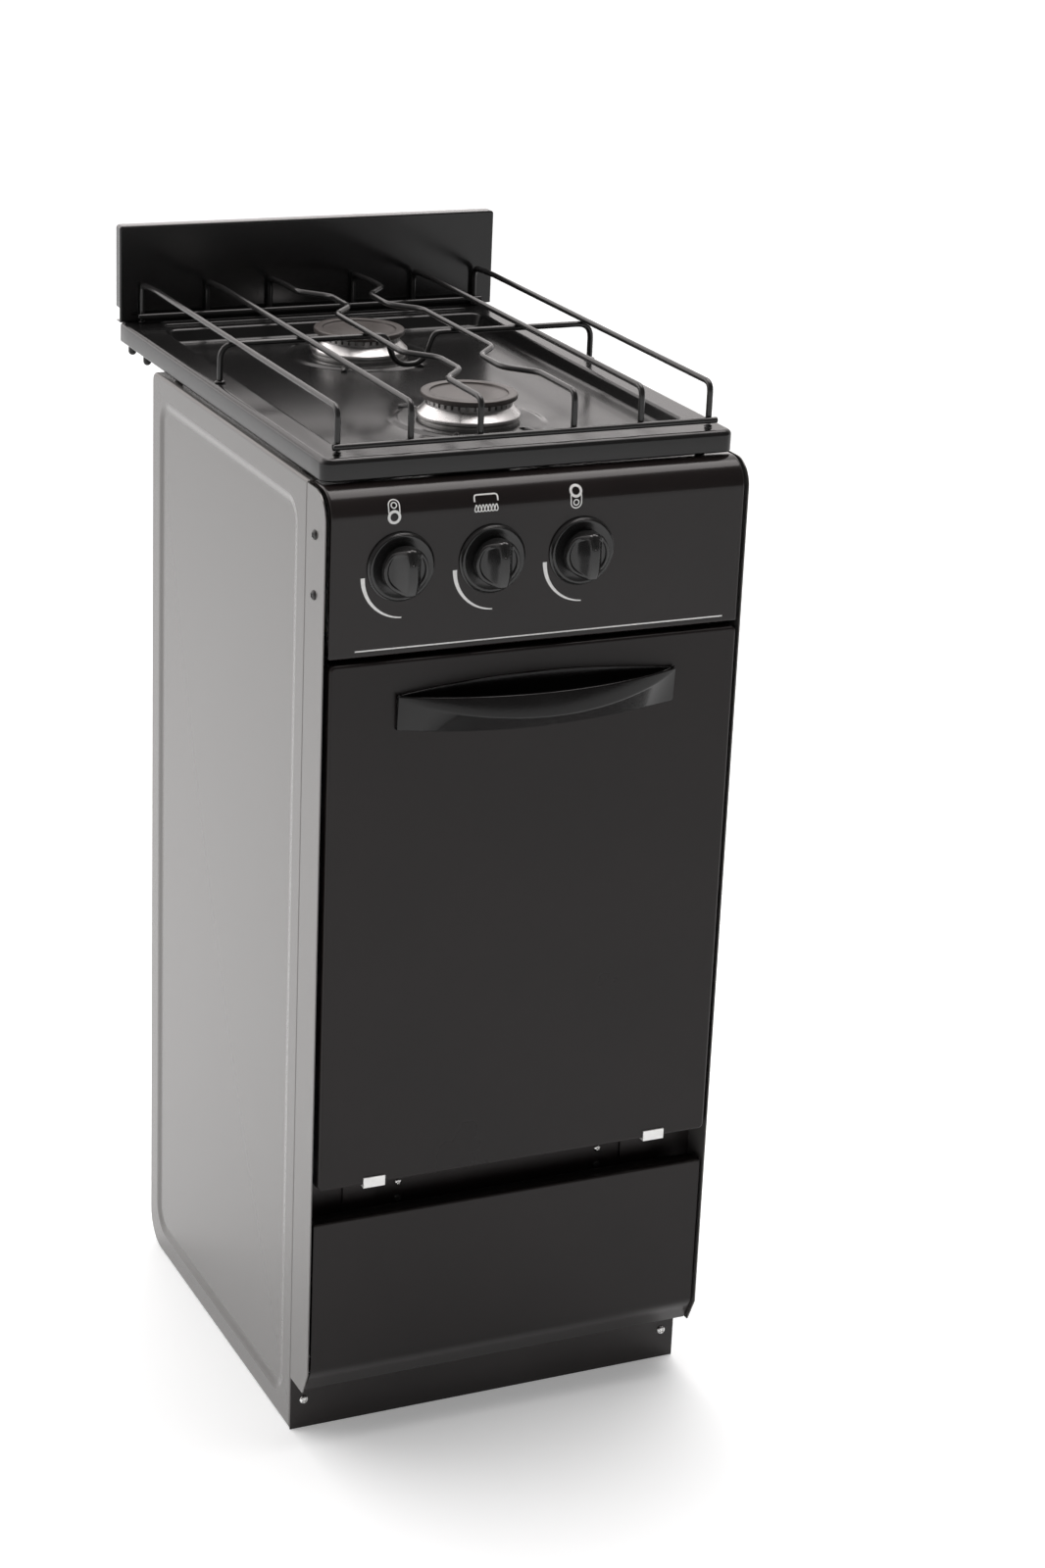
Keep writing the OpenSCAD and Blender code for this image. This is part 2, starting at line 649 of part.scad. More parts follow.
module oven_rack() color("#c6c7ca") {
  r = 2.5;
  z = guide_zs[1] + 2 + r;
  x = oven_w / 2 - 4 - r;
  for (y = [16, oven_d - 30]) bar([-x, y, z], [x, y, z], r);
  for (sx = [-1, 1]) bar([sx * x, 16, z], [sx * x, oven_d - 30, z], r);
  for (sx = [-1, 1]) for (y = [16, oven_d - 30]) translate([sx * x, y, z]) sphere(r);
  count = floor(2 * x / 22);
  for (i = [1:count - 1]) bar([-x + i * 2 * x / count, 16, z], [-x + i * 2 * x / count, oven_d - 30, z], 1.6);
}

// blanket over the sides, roof and back of the liner
module insulation_jacket() color("#d9cfa8") difference() {
  span([-liner_half - jacket_t, side_flange + 3, liner_z], [liner_half + jacket_t, liner_back + jacket_t,
    liner_top + sheet + jacket_t - 2]);
  span([-liner_half, 0, liner_z - 1], [liner_half, liner_back, liner_top + sheet]);
  span([-flue_half - 1, oven_d, flue_z - 1], [flue_half + 1, cab_d, flue_z + flue_t + 1]);
}

module flue_duct() color("#8a8b8e") difference() {
  span([-flue_half, liner_back, flue_z], [flue_half, cab_d + 8, flue_z + flue_t]);
  span([-flue_half + sheet, liner_back - 1, flue_z + sheet], [flue_half - sheet, cab_d + 9, flue_z + flue_t - sheet]);
}

// ---------- door ----------

// place of the hinges' notch in the door's sheets
module hinge_notch(y0, y1, z1) both_sides()
  span([hinge_x - hinge_w / 2 - 3.5, y0, door_z - 2], [hinge_x + hinge_w / 2 + 3.5, y1, z1]);

module door_outer_panel() color("#1f1d1d") difference() {
  span([-door_half, door_y, door_z], [door_half, door_back - 9, door_top]);
  span([-door_half + sheet, door_y + sheet, door_z + sheet], [door_half - sheet, door_back, door_top - sheet]);
  hinge_notch(hinge_y - 9, door_back, door_z + 20);
  both_sides() translate([handle_screw_x, door_y, handle_screw_z]) screw_hole();
}

// shallow pan that closes the back of the door inside the outer panel's folded edges
module door_inner_panel() color("#3c3d40") difference() {
  span([-inner_half, door_back - 24, door_z + sheet], [inner_half, door_back, door_top - sheet]);
  span([-inner_half + sheet, door_back - 25, door_z + 2 * sheet],
    [inner_half - sheet, door_back - sheet, door_top - 2 * sheet]);
  hinge_notch(door_y, door_back + 1, door_z + 10);
}

module door_insulation() color("#d9cfa8")
  span([-inner_half + 4, door_y + sheet + 2, door_z + 66], [inner_half - 4, door_back - sheet, door_top - 6]);

// plan of the handle: a segment of a circle in front of a straight back, set in by a margin
module handle_plan(m) {
  intersection() {
    translate([0, -handle_reach + handle_bow_r]) circle(handle_bow_r - m, $fn = 180);
    translate([-handle_w / 2 + m, -handle_reach]) square([handle_w - 2 * m, handle_reach - handle_end]);
  }
  translate([-handle_w / 2 + m, -handle_end - eps]) square([handle_w - 2 * m, handle_end + eps - m]);
}

// back plate of the handle seen from the front: a band whose long edges both bulge
module handle_back() {
  w = handle_w - 2;
  bulge_r = (pow(w / 2, 2) + pow(handle_bulge, 2)) / (2 * handle_bulge);
  intersection() {
    translate([-w / 2, -handle_bulge]) square([w, handle_h + 2 * handle_bulge]);
    translate([0, handle_h + handle_bulge - bulge_r]) circle(bulge_r, $fn = 180);
    translate([0, -handle_bulge + bulge_r]) circle(bulge_r, $fn = 180);
  }
}

// bowed moulding with a finger pocket open at the top and a sloping underside
module door_handle() color("#0e0e0e") translate([0, door_y, handle_z - handle_h / 2]) difference() {
  union() {
    linear_extrude(handle_h) handle_plan(0);
    along_y(-2.5, 0) handle_back();
  }
  translate([0, 0, 13]) linear_extrude(handle_h) handle_plan(3);
  along_x(-handle_w, handle_w)
    polygon([[-handle_end, -1], [-handle_reach - 1, 9.5], [-handle_reach - 1, -1]]);
  both_sides() translate([handle_screw_x, 1, handle_h / 2 - 7]) rotate([90, 0, 0]) cylinder(r = 1.6, h = 9);
}

module handle_screws() color("#b0b0b0") both_sides()
  translate([handle_screw_x, door_y + sheet, handle_screw_z]) mirror([0, 1, 0]) screw(3.5, 1.9, 1.5, 7);

module door_seal() color("#7a7a78") {
  w = oven_w + 18;
  translate([-w / 2, 0, oven_floor_z - 9]) along_y(door_back, -sheet - 0.8) difference() {
    soft_rect(w, liner_top - oven_floor_z + 18, 12, 12, 12, 12);
    translate([7, 7]) soft_rect(w - 14, liner_top - oven_floor_z + 4, 6, 6, 6, 6);
  }
}

// bright straps that hook round the door's lower edge and turn on the hinge pins
module hinge_arms() color("#e8e8e6") both_sides() translate([hinge_x - hinge_w / 2, 0, 0]) difference() {
  union() {
    translate([0, hinge_y, hinge_z]) rotate([0, 90, 0]) cylinder(r = barrel_r, h = hinge_w);
    span([0, hinge_y - 1, hinge_z], [hinge_w, hinge_y + 1, door_z + 60]);
    span([0, door_y - 1.2, hinge_z - barrel_r], [hinge_w, hinge_y, door_z]);
    span([0, door_y - 1.2, hinge_z - barrel_r], [hinge_w, door_y, door_z + 7]);
    span([0, hinge_y, door_z + 56], [hinge_w, door_back - sheet, door_z + 60]);
  }
  translate([-1, hinge_y, hinge_z]) rotate([0, 90, 0]) cylinder(r = pin_r + shaft_gap, h = hinge_w + 2);
}

// brackets on the lower rail with an ear on each side of a hinge arm
module hinge_brackets() color("#55565a") both_sides() difference() {
  union() {
    span([hinge_x - 14.5, rail_y - 2, rail_z + 16], [hinge_x + 14.5, rail_y, rail_z + rail_h]);
    for (x = [hinge_x - hinge_w / 2 - 2.2, hinge_x + hinge_w / 2 + 0.2]) {
      translate([x, hinge_y, hinge_z]) rotate([0, 90, 0]) cylinder(r = 5, h = 2);
      span([x, hinge_y, hinge_z - 5], [x + 2, rail_y, hinge_z]);
      span([x, rail_y - 2, rail_z + rail_h - 2], [x + 2, rail_y, hinge_z]);
    }
  }
  translate([0, hinge_y, hinge_z]) rotate([0, 90, 0]) cylinder(r = pin_r, h = half);
}

module hinge_pins() color("#a0a0a0") both_sides() translate([hinge_x, hinge_y, hinge_z])
  rotate([0, 90, 0]) cylinder(r = pin_r, h = hinge_w + 5, center = true);

// ---------- drawer ----------

// folded sheet: upright face, slanted lower band and a folded upper edge
module drawer_front() color("#1f1d1d") along_x(-drawer_half, drawer_half) {
  low = kick_h + 2;
  polygon([[drawer_y, low + drawer_chamfer], [drawer_y, drawer_top], [drawer_y + 14, drawer_top],
    [drawer_y + 14, drawer_top - sheet], [drawer_y + sheet, drawer_top - sheet],
    [drawer_y + sheet, low + drawer_chamfer + 0.2], [drawer_y + 12.1, low + 0.5], [drawer_y + 11, low]]);
}

// open tray whose taller front wall carries the drawer front
module drawer_box() color("#4a4b4e") difference() {
  union() {
    span([-tray_w / 2, tray_front, tray_z], [tray_w / 2, tray_front + tray_d, tray_z + tray_h]);
    span([-tray_w / 2, tray_front, tray_z], [tray_w / 2, tray_front + sheet, drawer_top]);
  }
  span([-tray_w / 2 + sheet, tray_front + sheet, tray_z + sheet],
    [tray_w / 2 - sheet, tray_front + tray_d - sheet, tray_z + tray_h + 1]);
}

module drawer_runners() color("#77787a") both_sides()
  span([tray_w / 2 - 12, 20, kick_h + sheet], [tray_w / 2 + 6, cab_d - 50, tray_z - slide_gap]);

// ---------- fasteners ----------

module post_screws() color("#2a2a2a") both_sides() for (z = post_screw_zs())
  translate([half, -18, z]) rotate([0, 0, 90]) screw(4, 2.2, 2, 10);

module kick_screws() color("#d8d8d6") both_sides() translate([half - 12, -sheet, kick_screw_z]) screw(4, 2.4, 2, 9);

module rail_screws() color("#a8a8a6") for (p = rail_screw_places())
  translate([p[0], rail_y, p[1]]) screw(3.2, 1.8, 2, 7);

module back_screws() color("#a8a8a6") for (p = back_screw_places())
  translate([p[0], cab_d, p[1]]) mirror([0, 1, 0]) screw(3.6, 2, 1.8, 9);

// ---------- assembly ----------

place() side_panel_left();
place() side_panel_right();
place() post_left();
place() post_right();
place() back_panel();
place() base_pan();
place() kick_plate();
place() cross_rail_lower();
place() cross_rail_upper();
place() hob_tray();
place() hob_pads();
place() rim_plugs();
place() splashback();
place() control_panel();
place() knob_bezels();
place() post_screws();
place() kick_screws();
place() rail_screws();
place() back_screws();
place() burner_rails();
place() burner_cup_front();
place() burner_cup_rear();
place() burner_crown_front();
place() burner_crown_rear();
place() burner_cap_front();
place() burner_cap_rear();
place() gas_manifold();
place() gas_inlet();
place() gas_taps();
place() burner_tubes();
place() tube_oven();
place() oven_liner();
place() oven_floor();
place() oven_burner();
place() rack_guides();
place() oven_rack();
place() insulation_jacket();
place() flue_duct();
place() hinge_brackets();
place() hinge_pins();
place() drawer_runners();
place() door_outer_panel();
place() door_inner_panel();
place() door_insulation();
place() door_handle();
place() handle_screws();
place() door_seal();
place() hinge_arms();
place() drawer_front();
place() drawer_box();
place() grate();
place() knob_left();
place() knob_center();
place() knob_right();
place() spindle_left();
place() spindle_center();
place() spindle_right();
place() thrust_ring_left();
place() thrust_ring_center();
place() thrust_ring_right();
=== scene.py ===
"""Narrow freestanding gas range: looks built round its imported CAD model.

Lengths are in metres in the CAD frame: X to the right of somebody facing the range, Y to the back, Z up.
"""

import bmesh
import bpy
import numpy as np
from bpy.props import FloatProperty, FloatVectorProperty, IntProperty, PointerProperty
from mathutils import Matrix, Vector


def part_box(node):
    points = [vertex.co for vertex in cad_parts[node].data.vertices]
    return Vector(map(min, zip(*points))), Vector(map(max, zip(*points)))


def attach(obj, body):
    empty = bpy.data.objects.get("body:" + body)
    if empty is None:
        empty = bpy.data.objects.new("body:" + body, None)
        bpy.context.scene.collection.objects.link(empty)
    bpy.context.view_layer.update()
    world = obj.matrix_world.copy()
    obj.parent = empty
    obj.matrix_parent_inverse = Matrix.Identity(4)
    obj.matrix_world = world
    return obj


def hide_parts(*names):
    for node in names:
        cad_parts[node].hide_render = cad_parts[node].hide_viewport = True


bl_info = {
    "name": "Freestanding gas range",
    "version": (1, 0, 0),
    "blender": (4, 5, 0),
    "location": "View3D > Sidebar > Gas range",
    "description": "Builds the enamelled sheet metal, burners, grate, controls and stage of a gas range",
    "category": "Object",
}

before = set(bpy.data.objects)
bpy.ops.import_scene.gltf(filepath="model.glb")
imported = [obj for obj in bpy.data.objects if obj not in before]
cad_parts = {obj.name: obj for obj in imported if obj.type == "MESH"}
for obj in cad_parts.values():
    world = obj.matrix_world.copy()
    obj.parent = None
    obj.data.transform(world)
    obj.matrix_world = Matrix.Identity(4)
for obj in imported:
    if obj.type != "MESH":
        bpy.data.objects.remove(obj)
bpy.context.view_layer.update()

# share of a sheet's thickness that its drawn wall takes, so that it stays inside the CAD sheet
FOLD_SHARE = 0.95

# how far the slope round a burner's ring reaches past it, and radius of the bend at the burner's hole
RING_BEND = 0.0015

# camera in the CAD frame: place, turns about Z, X and Z in degrees, and focal length on a 36 mm sensor
CAMERA_PLACE = (-1.0701, -2.4906, 1.4957)
CAMERA_PAN, CAMERA_FALL, CAMERA_ROLL = -25.294, 20.271, 2.503
CAMERA_LENS = 76.23


def box(node):
    """Lowest and highest corner of a CAD node, as numpy arrays."""
    lo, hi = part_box(node)
    return np.array(lo), np.array(hi)


# ---------- surfaces ----------


def quarter(steps):
    """Angles from 0 to a right angle."""
    return np.linspace(0, np.pi / 2, steps)


def at_height(flat, z):
    """Rows of (x, y) points, each row lifted to its own height z."""
    return np.dstack([flat, np.broadcast_to(z[:, None], flat.shape[:2])])


def at_depth(loops, middle, y):
    """Loops of (x, z) offsets from a middle, each loop put at its own depth y."""
    across, up = middle[0] + loops[..., 0], middle[2] + loops[..., 1]
    return np.stack([across, np.broadcast_to(y[:, None], across.shape), up], -1)


def along_x(x, section):
    """Sections of (y, z) points carried to their places x along the width."""
    return np.dstack([np.broadcast_to(x, section.shape[:2]), section])


def soft_loops(half_w, half_h, radii, arc=8, side=6):
    """Closed outlines of rectangles with round corners, one per entry of half_w.

    Each corner is a quarter circle of its own radius (lower right, upper right, upper left, lower left),
    sampled at arc points; side more points are spread evenly along each straight between two corners.
    """
    half_w, half_h = np.broadcast_arrays(np.atleast_1d(half_w), np.atleast_1d(half_h))
    radii = np.broadcast_to(np.asarray(radii, float), (len(half_w), 4))
    radii = np.maximum(radii, 1e-5)
    angle = np.radians(-90 + 90 * np.arange(4))[:, None] + quarter(arc)
    cx = np.array([1, 1, -1, -1]) * (half_w[:, None] - radii)
    cy = np.array([-1, 1, 1, -1]) * (half_h[:, None] - radii)
    corner = np.stack(
        [cx[:, :, None] + radii[:, :, None] * np.cos(angle), cy[:, :, None] + radii[:, :, None] * np.sin(angle)], -1
    )
    t = np.linspace(0, 1, side + 2)[1:-1, None]
    following = np.roll(corner[:, :, 0], -1, axis=1)
    straight = corner[:, :, -1, None, :] * (1 - t) + following[:, :, None, :] * t
    return np.concatenate([corner, straight], 2).reshape(len(half_w), -1, 2)


def skin(points, wrap=True, cap_start=False, cap_end=False):
    """Vertices and faces of a grid of points (rows, columns, 3): one quad between each four neighbours.

    wrap joins the last column to the first. A cap closes the first or last row with a fan to its middle.
    """
    rows, cols = points.shape[:2]
    last = cols if wrap else cols - 1
    j = np.arange(last)
    i = np.arange(rows - 1)[:, None]
    k = (j + 1) % cols
    quads = np.stack([i * cols + j, i * cols + k, (i + 1) * cols + k, (i + 1) * cols + j], -1).reshape(-1, 4)
    verts = points.reshape(-1, 3)
    faces = quads.tolist()
    for wanted, row, turn in ((cap_start, 0, 1), (cap_end, rows - 1, 0)):
        if wanted:
            centre = len(verts)
            verts = np.vstack([verts, points[row].mean(0)])
            a, b = row * cols + j, row * cols + k
            fan = np.stack([b, a, np.full(last, centre)] if turn else [a, b, np.full(last, centre)], -1)
            faces += fan.tolist()
    return verts, faces


def lathe(profile, centre, segments=96, axis="z", close=True):
    """A profile of (radius, height) pairs turned once round an axis through centre.

    axis z puts height along +Z; axis y puts height along -Y, towards somebody facing the range.
    """
    angle = np.arange(segments) * 2 * np.pi / segments
    radius, height = np.asarray(profile, float).T
    ring = np.stack([np.cos(angle), np.sin(angle)], -1)
    flat = radius[:, None, None] * ring
    up = np.broadcast_to(height[:, None], flat.shape[:2])
    if axis == "z":
        points = np.stack([flat[..., 0], flat[..., 1], up], -1)
    else:
        points = np.stack([flat[..., 0], -up, flat[..., 1]], -1)
    return skin(points + np.asarray(centre), True, close, close)


def rounded_path(corners, radius, steps=6):
    """A polyline whose inner corners are replaced by quadratic arcs that start radius before the corner."""
    corners = np.asarray(corners, float)
    before, here, after = corners[:-2], corners[1:-1], corners[2:]
    into, out = here - before, after - here
    in_len = np.linalg.norm(into, axis=1, keepdims=True)
    out_len = np.linalg.norm(out, axis=1, keepdims=True)
    cut = np.minimum(np.broadcast_to(np.reshape(radius, (-1, 1)), in_len.shape), np.minimum(in_len, out_len) * 0.45)
    start, end = here - into / in_len * cut, here + out / out_len * cut
    t = np.linspace(0, 1, steps)[:, None, None]
    arcs = (1 - t) ** 2 * start + 2 * t * (1 - t) * here + t**2 * end
    arcs = arcs.transpose(1, 0, 2).reshape(-1, corners.shape[1])
    return np.vstack([corners[:1], arcs, corners[-1:]])


def tube(corners, radius, bend=0.007, sides=14, steps=7):
    """Round wire along a rounded path: a circle of the given radius is carried square to the path,
    and its direction is turned as little as possible from one station to the next. Both ends are domed."""
    path = rounded_path(corners, bend, steps)
    tangent = np.gradient(path, axis=0)
    tangent /= np.linalg.norm(tangent, axis=1, keepdims=True)
    side = np.empty_like(path)
    first = np.cross(tangent[0], [0.3, 0.2, 0.93])
    side[0] = first / np.linalg.norm(first)
    for n in range(1, len(path)):
        turned = side[n - 1] - tangent[n] * (side[n - 1] @ tangent[n])
        side[n] = turned / np.linalg.norm(turned)
    other = np.cross(tangent, side)
    angle = np.arange(sides) * 2 * np.pi / sides
    circle = side[:, None] * np.cos(angle)[:, None] + other[:, None] * np.sin(angle)[:, None]
    dome = np.sin(quarter(5)[:-1])[:, None, None]
    lean = np.cos(quarter(5)[:-1])[:, None, None]
    head = path[0] + radius * (circle[0] * np.maximum(dome, 0.05) - tangent[0] * (lean - 1)) - tangent[0] * radius
    tail = path[-1] + radius * (circle[-1] * np.maximum(dome, 0.05) + tangent[-1] * (lean - 1)) + tangent[-1] * radius
    points = np.concatenate([head, path[:, None] + radius * circle, tail[::-1]])
    points[:4] += tangent[0] * radius * 0.999
    points[-4:] -= tangent[-1] * radius * 0.999
    return skin(points, True, True, True)


def round_sections(corners, cuts, steps=5):
    """Closed sections (stations, corners, 2) whose corners become quadratic arcs.

    Each arc starts and ends at its cut before and after the corner.
    """
    before, after = np.roll(corners, 1, axis=1), np.roll(corners, -1, axis=1)
    into, out = before - corners, after - corners
    in_len = np.maximum(np.linalg.norm(into, axis=2, keepdims=True), 1e-9)
    out_len = np.maximum(np.linalg.norm(out, axis=2, keepdims=True), 1e-9)
    cut = np.minimum(np.asarray(cuts)[None, :, None], np.minimum(in_len, out_len) * 0.48)
    start, end = corners + into / in_len * cut, corners + out / out_len * cut
    t = np.linspace(0, 1, steps)[None, None, :, None]
    arcs = (1 - t) ** 2 * start[:, :, None] + 2 * t * (1 - t) * corners[:, :, None] + t**2 * end[:, :, None]
    return arcs.reshape(len(corners), -1, 2)


def smooth_step(x, lo, hi):
    """0 below lo, 1 above hi, and a cubic with level ends in between."""
    t = np.clip((np.asarray(x, float) - lo) / (hi - lo), 0, 1)
    return t * t * (3 - 2 * t)


def roll_over(radius, skirt, hold=0.0006, steps=6):
    """Inset and depth of a sheet's folded edge: flat face, quarter circle of the radius, then a straight skirt."""
    a = quarter(steps)
    inset = np.concatenate([[radius + hold], radius * (1 - np.sin(a)), [0, 0]])
    depth = np.concatenate([[0], radius * (1 - np.cos(a)), [radius + hold, skirt]])
    return inset, depth


def polar_relief(centre, outer, height, depth, rings=26, spokes=96):
    """A disc facing -Y whose height over its base is height(x, z), closed by a straight wall of the given depth.

    Points lie on rings that are closer together near the rim, with x and z measured from the centre.
    """
    rho = outer * np.sin(np.linspace(0.02, np.pi / 2, rings))
    angle = np.arange(spokes) * 2 * np.pi / spokes
    x, z = rho[:, None] * np.cos(angle), rho[:, None] * np.sin(angle)
    top = np.stack([x, -height(x, z), z], -1)
    wall = np.stack([x[-1:], np.full((1, spokes), depth), z[-1:]], -1)
    points = np.concatenate([top, wall]) + np.asarray(centre)
    return skin(points, True, True, True)


def screw_head(centre, radius, rise, direction="front"):
    """Domed pan head with a cross recess that faces front, back, left or right: the dome is a flattened circle
    arc, and two crossing slots are pressed into it with sloping walls."""

    def relief(x, z):
        rho = np.hypot(x, z) / radius
        dome = rise * np.sqrt(np.clip(1 - rho**4, 0, 1)) * (0.72 + 0.28 * np.sqrt(np.clip(1 - rho**2, 0, 1)))
        arm = 0.62 * radius
        u, v = (x + z) * 0.70711, (x - z) * 0.70711
        slot = np.maximum(
            (1 - smooth_step(np.abs(u), 0.10 * radius, 0.2 * radius)) * (1 - smooth_step(np.abs(v), arm * 0.8, arm)),
            (1 - smooth_step(np.abs(v), 0.10 * radius, 0.2 * radius)) * (1 - smooth_step(np.abs(u), arm * 0.8, arm)),
        )
        return dome - 0.55 * rise * slot

    verts, faces = polar_relief((0, 0, 0), radius, relief, 0.0002, 20, 48)
    if direction == "right":
        verts = np.stack([-verts[:, 1], verts[:, 0], verts[:, 2]], -1)
    elif direction == "left":
        verts = np.stack([verts[:, 1], -verts[:, 0], verts[:, 2]], -1)
    elif direction == "back":
        verts = np.stack([-verts[:, 0], -verts[:, 1], verts[:, 2]], -1)
    return verts + np.asarray(centre), faces


def joined(parts):
    """One list of vertices and one of faces from several."""
    verts, faces, start = [], [], 0
    for v, f in parts:
        verts.append(v)
        faces += [[n + start for n in face] for face in f]
        start += len(v)
    return np.vstack(verts), faces


def piece(name, parts, finish_name, body, replaced=(), sharp=38, wall=0.0):
    """Makes one object from surfaces: merges doubles, turns its faces outwards, sets smooth shading
    with sharp edges over an angle, and puts it on its body. wall gives an open sheet its thickness inwards."""
    verts, faces = joined(parts)
    mesh = bpy.data.meshes.new(name)
    mesh.from_pydata(verts.tolist(), [], faces)
    work = bmesh.new()
    work.from_mesh(mesh)
    bmesh.ops.remove_doubles(work, verts=work.verts, dist=3e-6)
    bmesh.ops.dissolve_degenerate(work, dist=1e-7, edges=work.edges)
    bmesh.ops.recalc_face_normals(work, faces=work.faces)
    work.to_mesh(mesh)
    work.free()
    if wall:
        outward(mesh)
    mesh.shade_smooth()
    mesh.set_sharp_from_angle(angle=np.radians(sharp))
    obj = bpy.data.objects.new(name, mesh)
    bpy.context.scene.collection.objects.link(obj)
    obj.data.materials.append(bpy.data.materials[finish_name])
    if wall:
        solid = obj.modifiers.new("wall", "SOLIDIFY")
        solid.thickness = wall
        solid.offset = -1
    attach(obj, body)
    if replaced:
        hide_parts(*replaced)
    return obj


def outward(mesh):
    """Turns an open sheet's faces away from the middle of its box when most of its area faces inwards."""
    count = len(mesh.polygons)
    centre, normal, area = np.empty(count * 3), np.empty(count * 3), np.empty(count)
    mesh.polygons.foreach_get("center", centre)
    mesh.polygons.foreach_get("normal", normal)
    mesh.polygons.foreach_get("area", area)
    centre = centre.reshape(-1, 3)
    middle = (centre.min(0) + centre.max(0)) / 2
    if (((centre - middle) * normal.reshape(-1, 3)).sum(1) * area).sum() < 0:
        mesh.flip_normals()


# ---------- finishes ----------


def finish(
    name, colour, rough, rough_swing, metal=0.0, gloss=0.5, tint=0.15, tint_scale=6.0, bump=0.02, bump_scale=260.0,
    stretch=(1, 1, 1), speck=0.0, speck_scale=520, speck_colour=(0.20, 0.20, 0.21)
):
    """A procedural material. Slow noise moves the colour by tint and the roughness by rough_swing; fine noise,
    drawn out by stretch, raises the surface; speck sets how much of it has small light grains."""
    mat = bpy.data.materials.new(name)
    mat.use_nodes = True
    nodes, links = mat.node_tree.nodes, mat.node_tree.links
    shader = nodes["Principled BSDF"]

    def new(kind, **values):
        """A node of a kind, with its sockets set by name."""
        node = nodes.new("ShaderNode" + kind)
        for socket, value in values.items():
            node.inputs[socket.replace("_", " ")].default_value = value
        return node

    shader.inputs["Metallic"].default_value = metal
    shader.inputs["Specular IOR Level"].default_value = gloss
    place = new("TexCoord")
    slow = new("TexNoise", Scale=tint_scale, Detail=5.0)
    links.new(place.outputs["Object"], slow.inputs["Vector"])
    low = [c * (1 - tint) for c in colour] + [1]
    high = [min(1.0, c * (1 + tint)) for c in colour] + [1]
    shade = new("ValToRGB")
    for stop, position, value in zip(shade.color_ramp.elements, (0.3, 0.7), (low, high)):
        stop.position, stop.color = position, value
    links.new(slow.outputs["Fac"], shade.inputs["Fac"])
    colour_out = shade.outputs["Color"]
    if speck:
        grain = new("TexVoronoi", Scale=speck_scale)
        links.new(place.outputs["Object"], grain.inputs["Vector"])
        cut = new("MapRange", From_Min=speck, From_Max=speck * 0.5)
        links.new(grain.outputs["Distance"], cut.inputs["Value"])
        mix = new("Mix")
        mix.data_type = "RGBA"
        mix.inputs["B"].default_value = list(speck_colour) + [1]
        links.new(cut.outputs["Result"], mix.inputs["Factor"])
        links.new(colour_out, mix.inputs["A"])
        colour_out = mix.outputs["Result"]
    links.new(colour_out, shader.inputs["Base Color"])
    smoothest = max(0.02, rough - rough_swing)
    spread = new("MapRange", From_Min=0.3, From_Max=0.7, To_Min=smoothest, To_Max=rough + rough_swing)
    links.new(slow.outputs["Fac"], spread.inputs["Value"])
    links.new(spread.outputs["Result"], shader.inputs["Roughness"])
    scaled = new("Mapping", Scale=stretch)
    links.new(place.outputs["Object"], scaled.inputs["Vector"])
    fine = new("TexNoise", Scale=bump_scale, Detail=3.0)
    links.new(scaled.outputs["Vector"], fine.inputs["Vector"])
    relief = new("Bump", Strength=bump, Distance=0.001)
    links.new(fine.outputs["Fac"], relief.inputs["Height"])
    links.new(relief.outputs["Normal"], shader.inputs["Normal"])
    return mat


# CAD nodes that stay visible, under the material each is given.
NODES_OF_FINISH = {
    "side_enamel": "post_left post_right",
    # kick_enamel's lighter colour is painted light on the kick plate, not a different paint
    "kick_enamel": "kick_plate",
    "galvanised": "back_panel base_pan burner_rails flue_duct drawer_runners",
    "black_paint": "cross_rail_lower cross_rail_upper hinge_brackets drawer_box",
    "rubber": "hob_pads rim_plugs",
    "cast_aluminium": "burner_cup_front burner_cup_rear",
    "aluminium_tube": "burner_tubes tube_oven",
    "pipe_steel": "gas_manifold oven_burner",
    "brass": "gas_inlet gas_taps spindle_left spindle_center spindle_right "
             "thrust_ring_left thrust_ring_center thrust_ring_right",
    "oven_enamel": "oven_liner oven_floor door_inner_panel",
    "rack_chrome": "rack_guides oven_rack",
    "glass_wool": "insulation_jacket door_insulation",
    "bright_steel": "hinge_pins handle_screws",
    "hinge_steel": "hinge_arms",
    "seal_cord": "door_seal",
}


# ---------- what a user may change ----------


def length(name, description, default):
    """A property that holds a length in metres."""
    return FloatProperty(name=name, description=description, default=default, unit="LENGTH")


def colour(name, description, default):
    """A property that holds a colour."""
    return FloatVectorProperty(name=name, description=description, subtype="COLOR", default=default)


class GasRangeFinish(bpy.types.PropertyGroup):
    """Colours of the range"""

    satin_black: colour("Satin enamel", "Door, drawer and control panel", (0.0118, 0.0093, 0.0090))
    print_white: colour("Print", "Marks on the control panel", (0.80, 0.80, 0.79))


class GasRangeSheet(bpy.types.PropertyGroup):
    """Sizes of the pressed and folded sheets"""

    wall: length("Sheet", "Thickness of the sheet", 0.001)
    side_fold: length("Side fold", "Radius of the side panels' edges", 0.0022)
    field_margin: length("Margin", "Flat margin round the side's field", 0.019)
    field_slope: length("Slope", "Width of the slope into the side's field", 0.009)
    field_depth: length("Field depth", "Depth of the side's field", 0.0018)
    flange: length("Flange", "Width of the side's folded flange", 0.015)
    door_fold: length("Door fold", "Radius of the door's front edges", 0.0024)
    door_corner: length("Door corner", "Radius of the door's corners", 0.005)
    panel_roll: length("Panel roll", "Radius of the control panel's top", 0.023)
    drawer_bend: length("Drawer bend", "Height of the drawer's slanted band", 0.022)


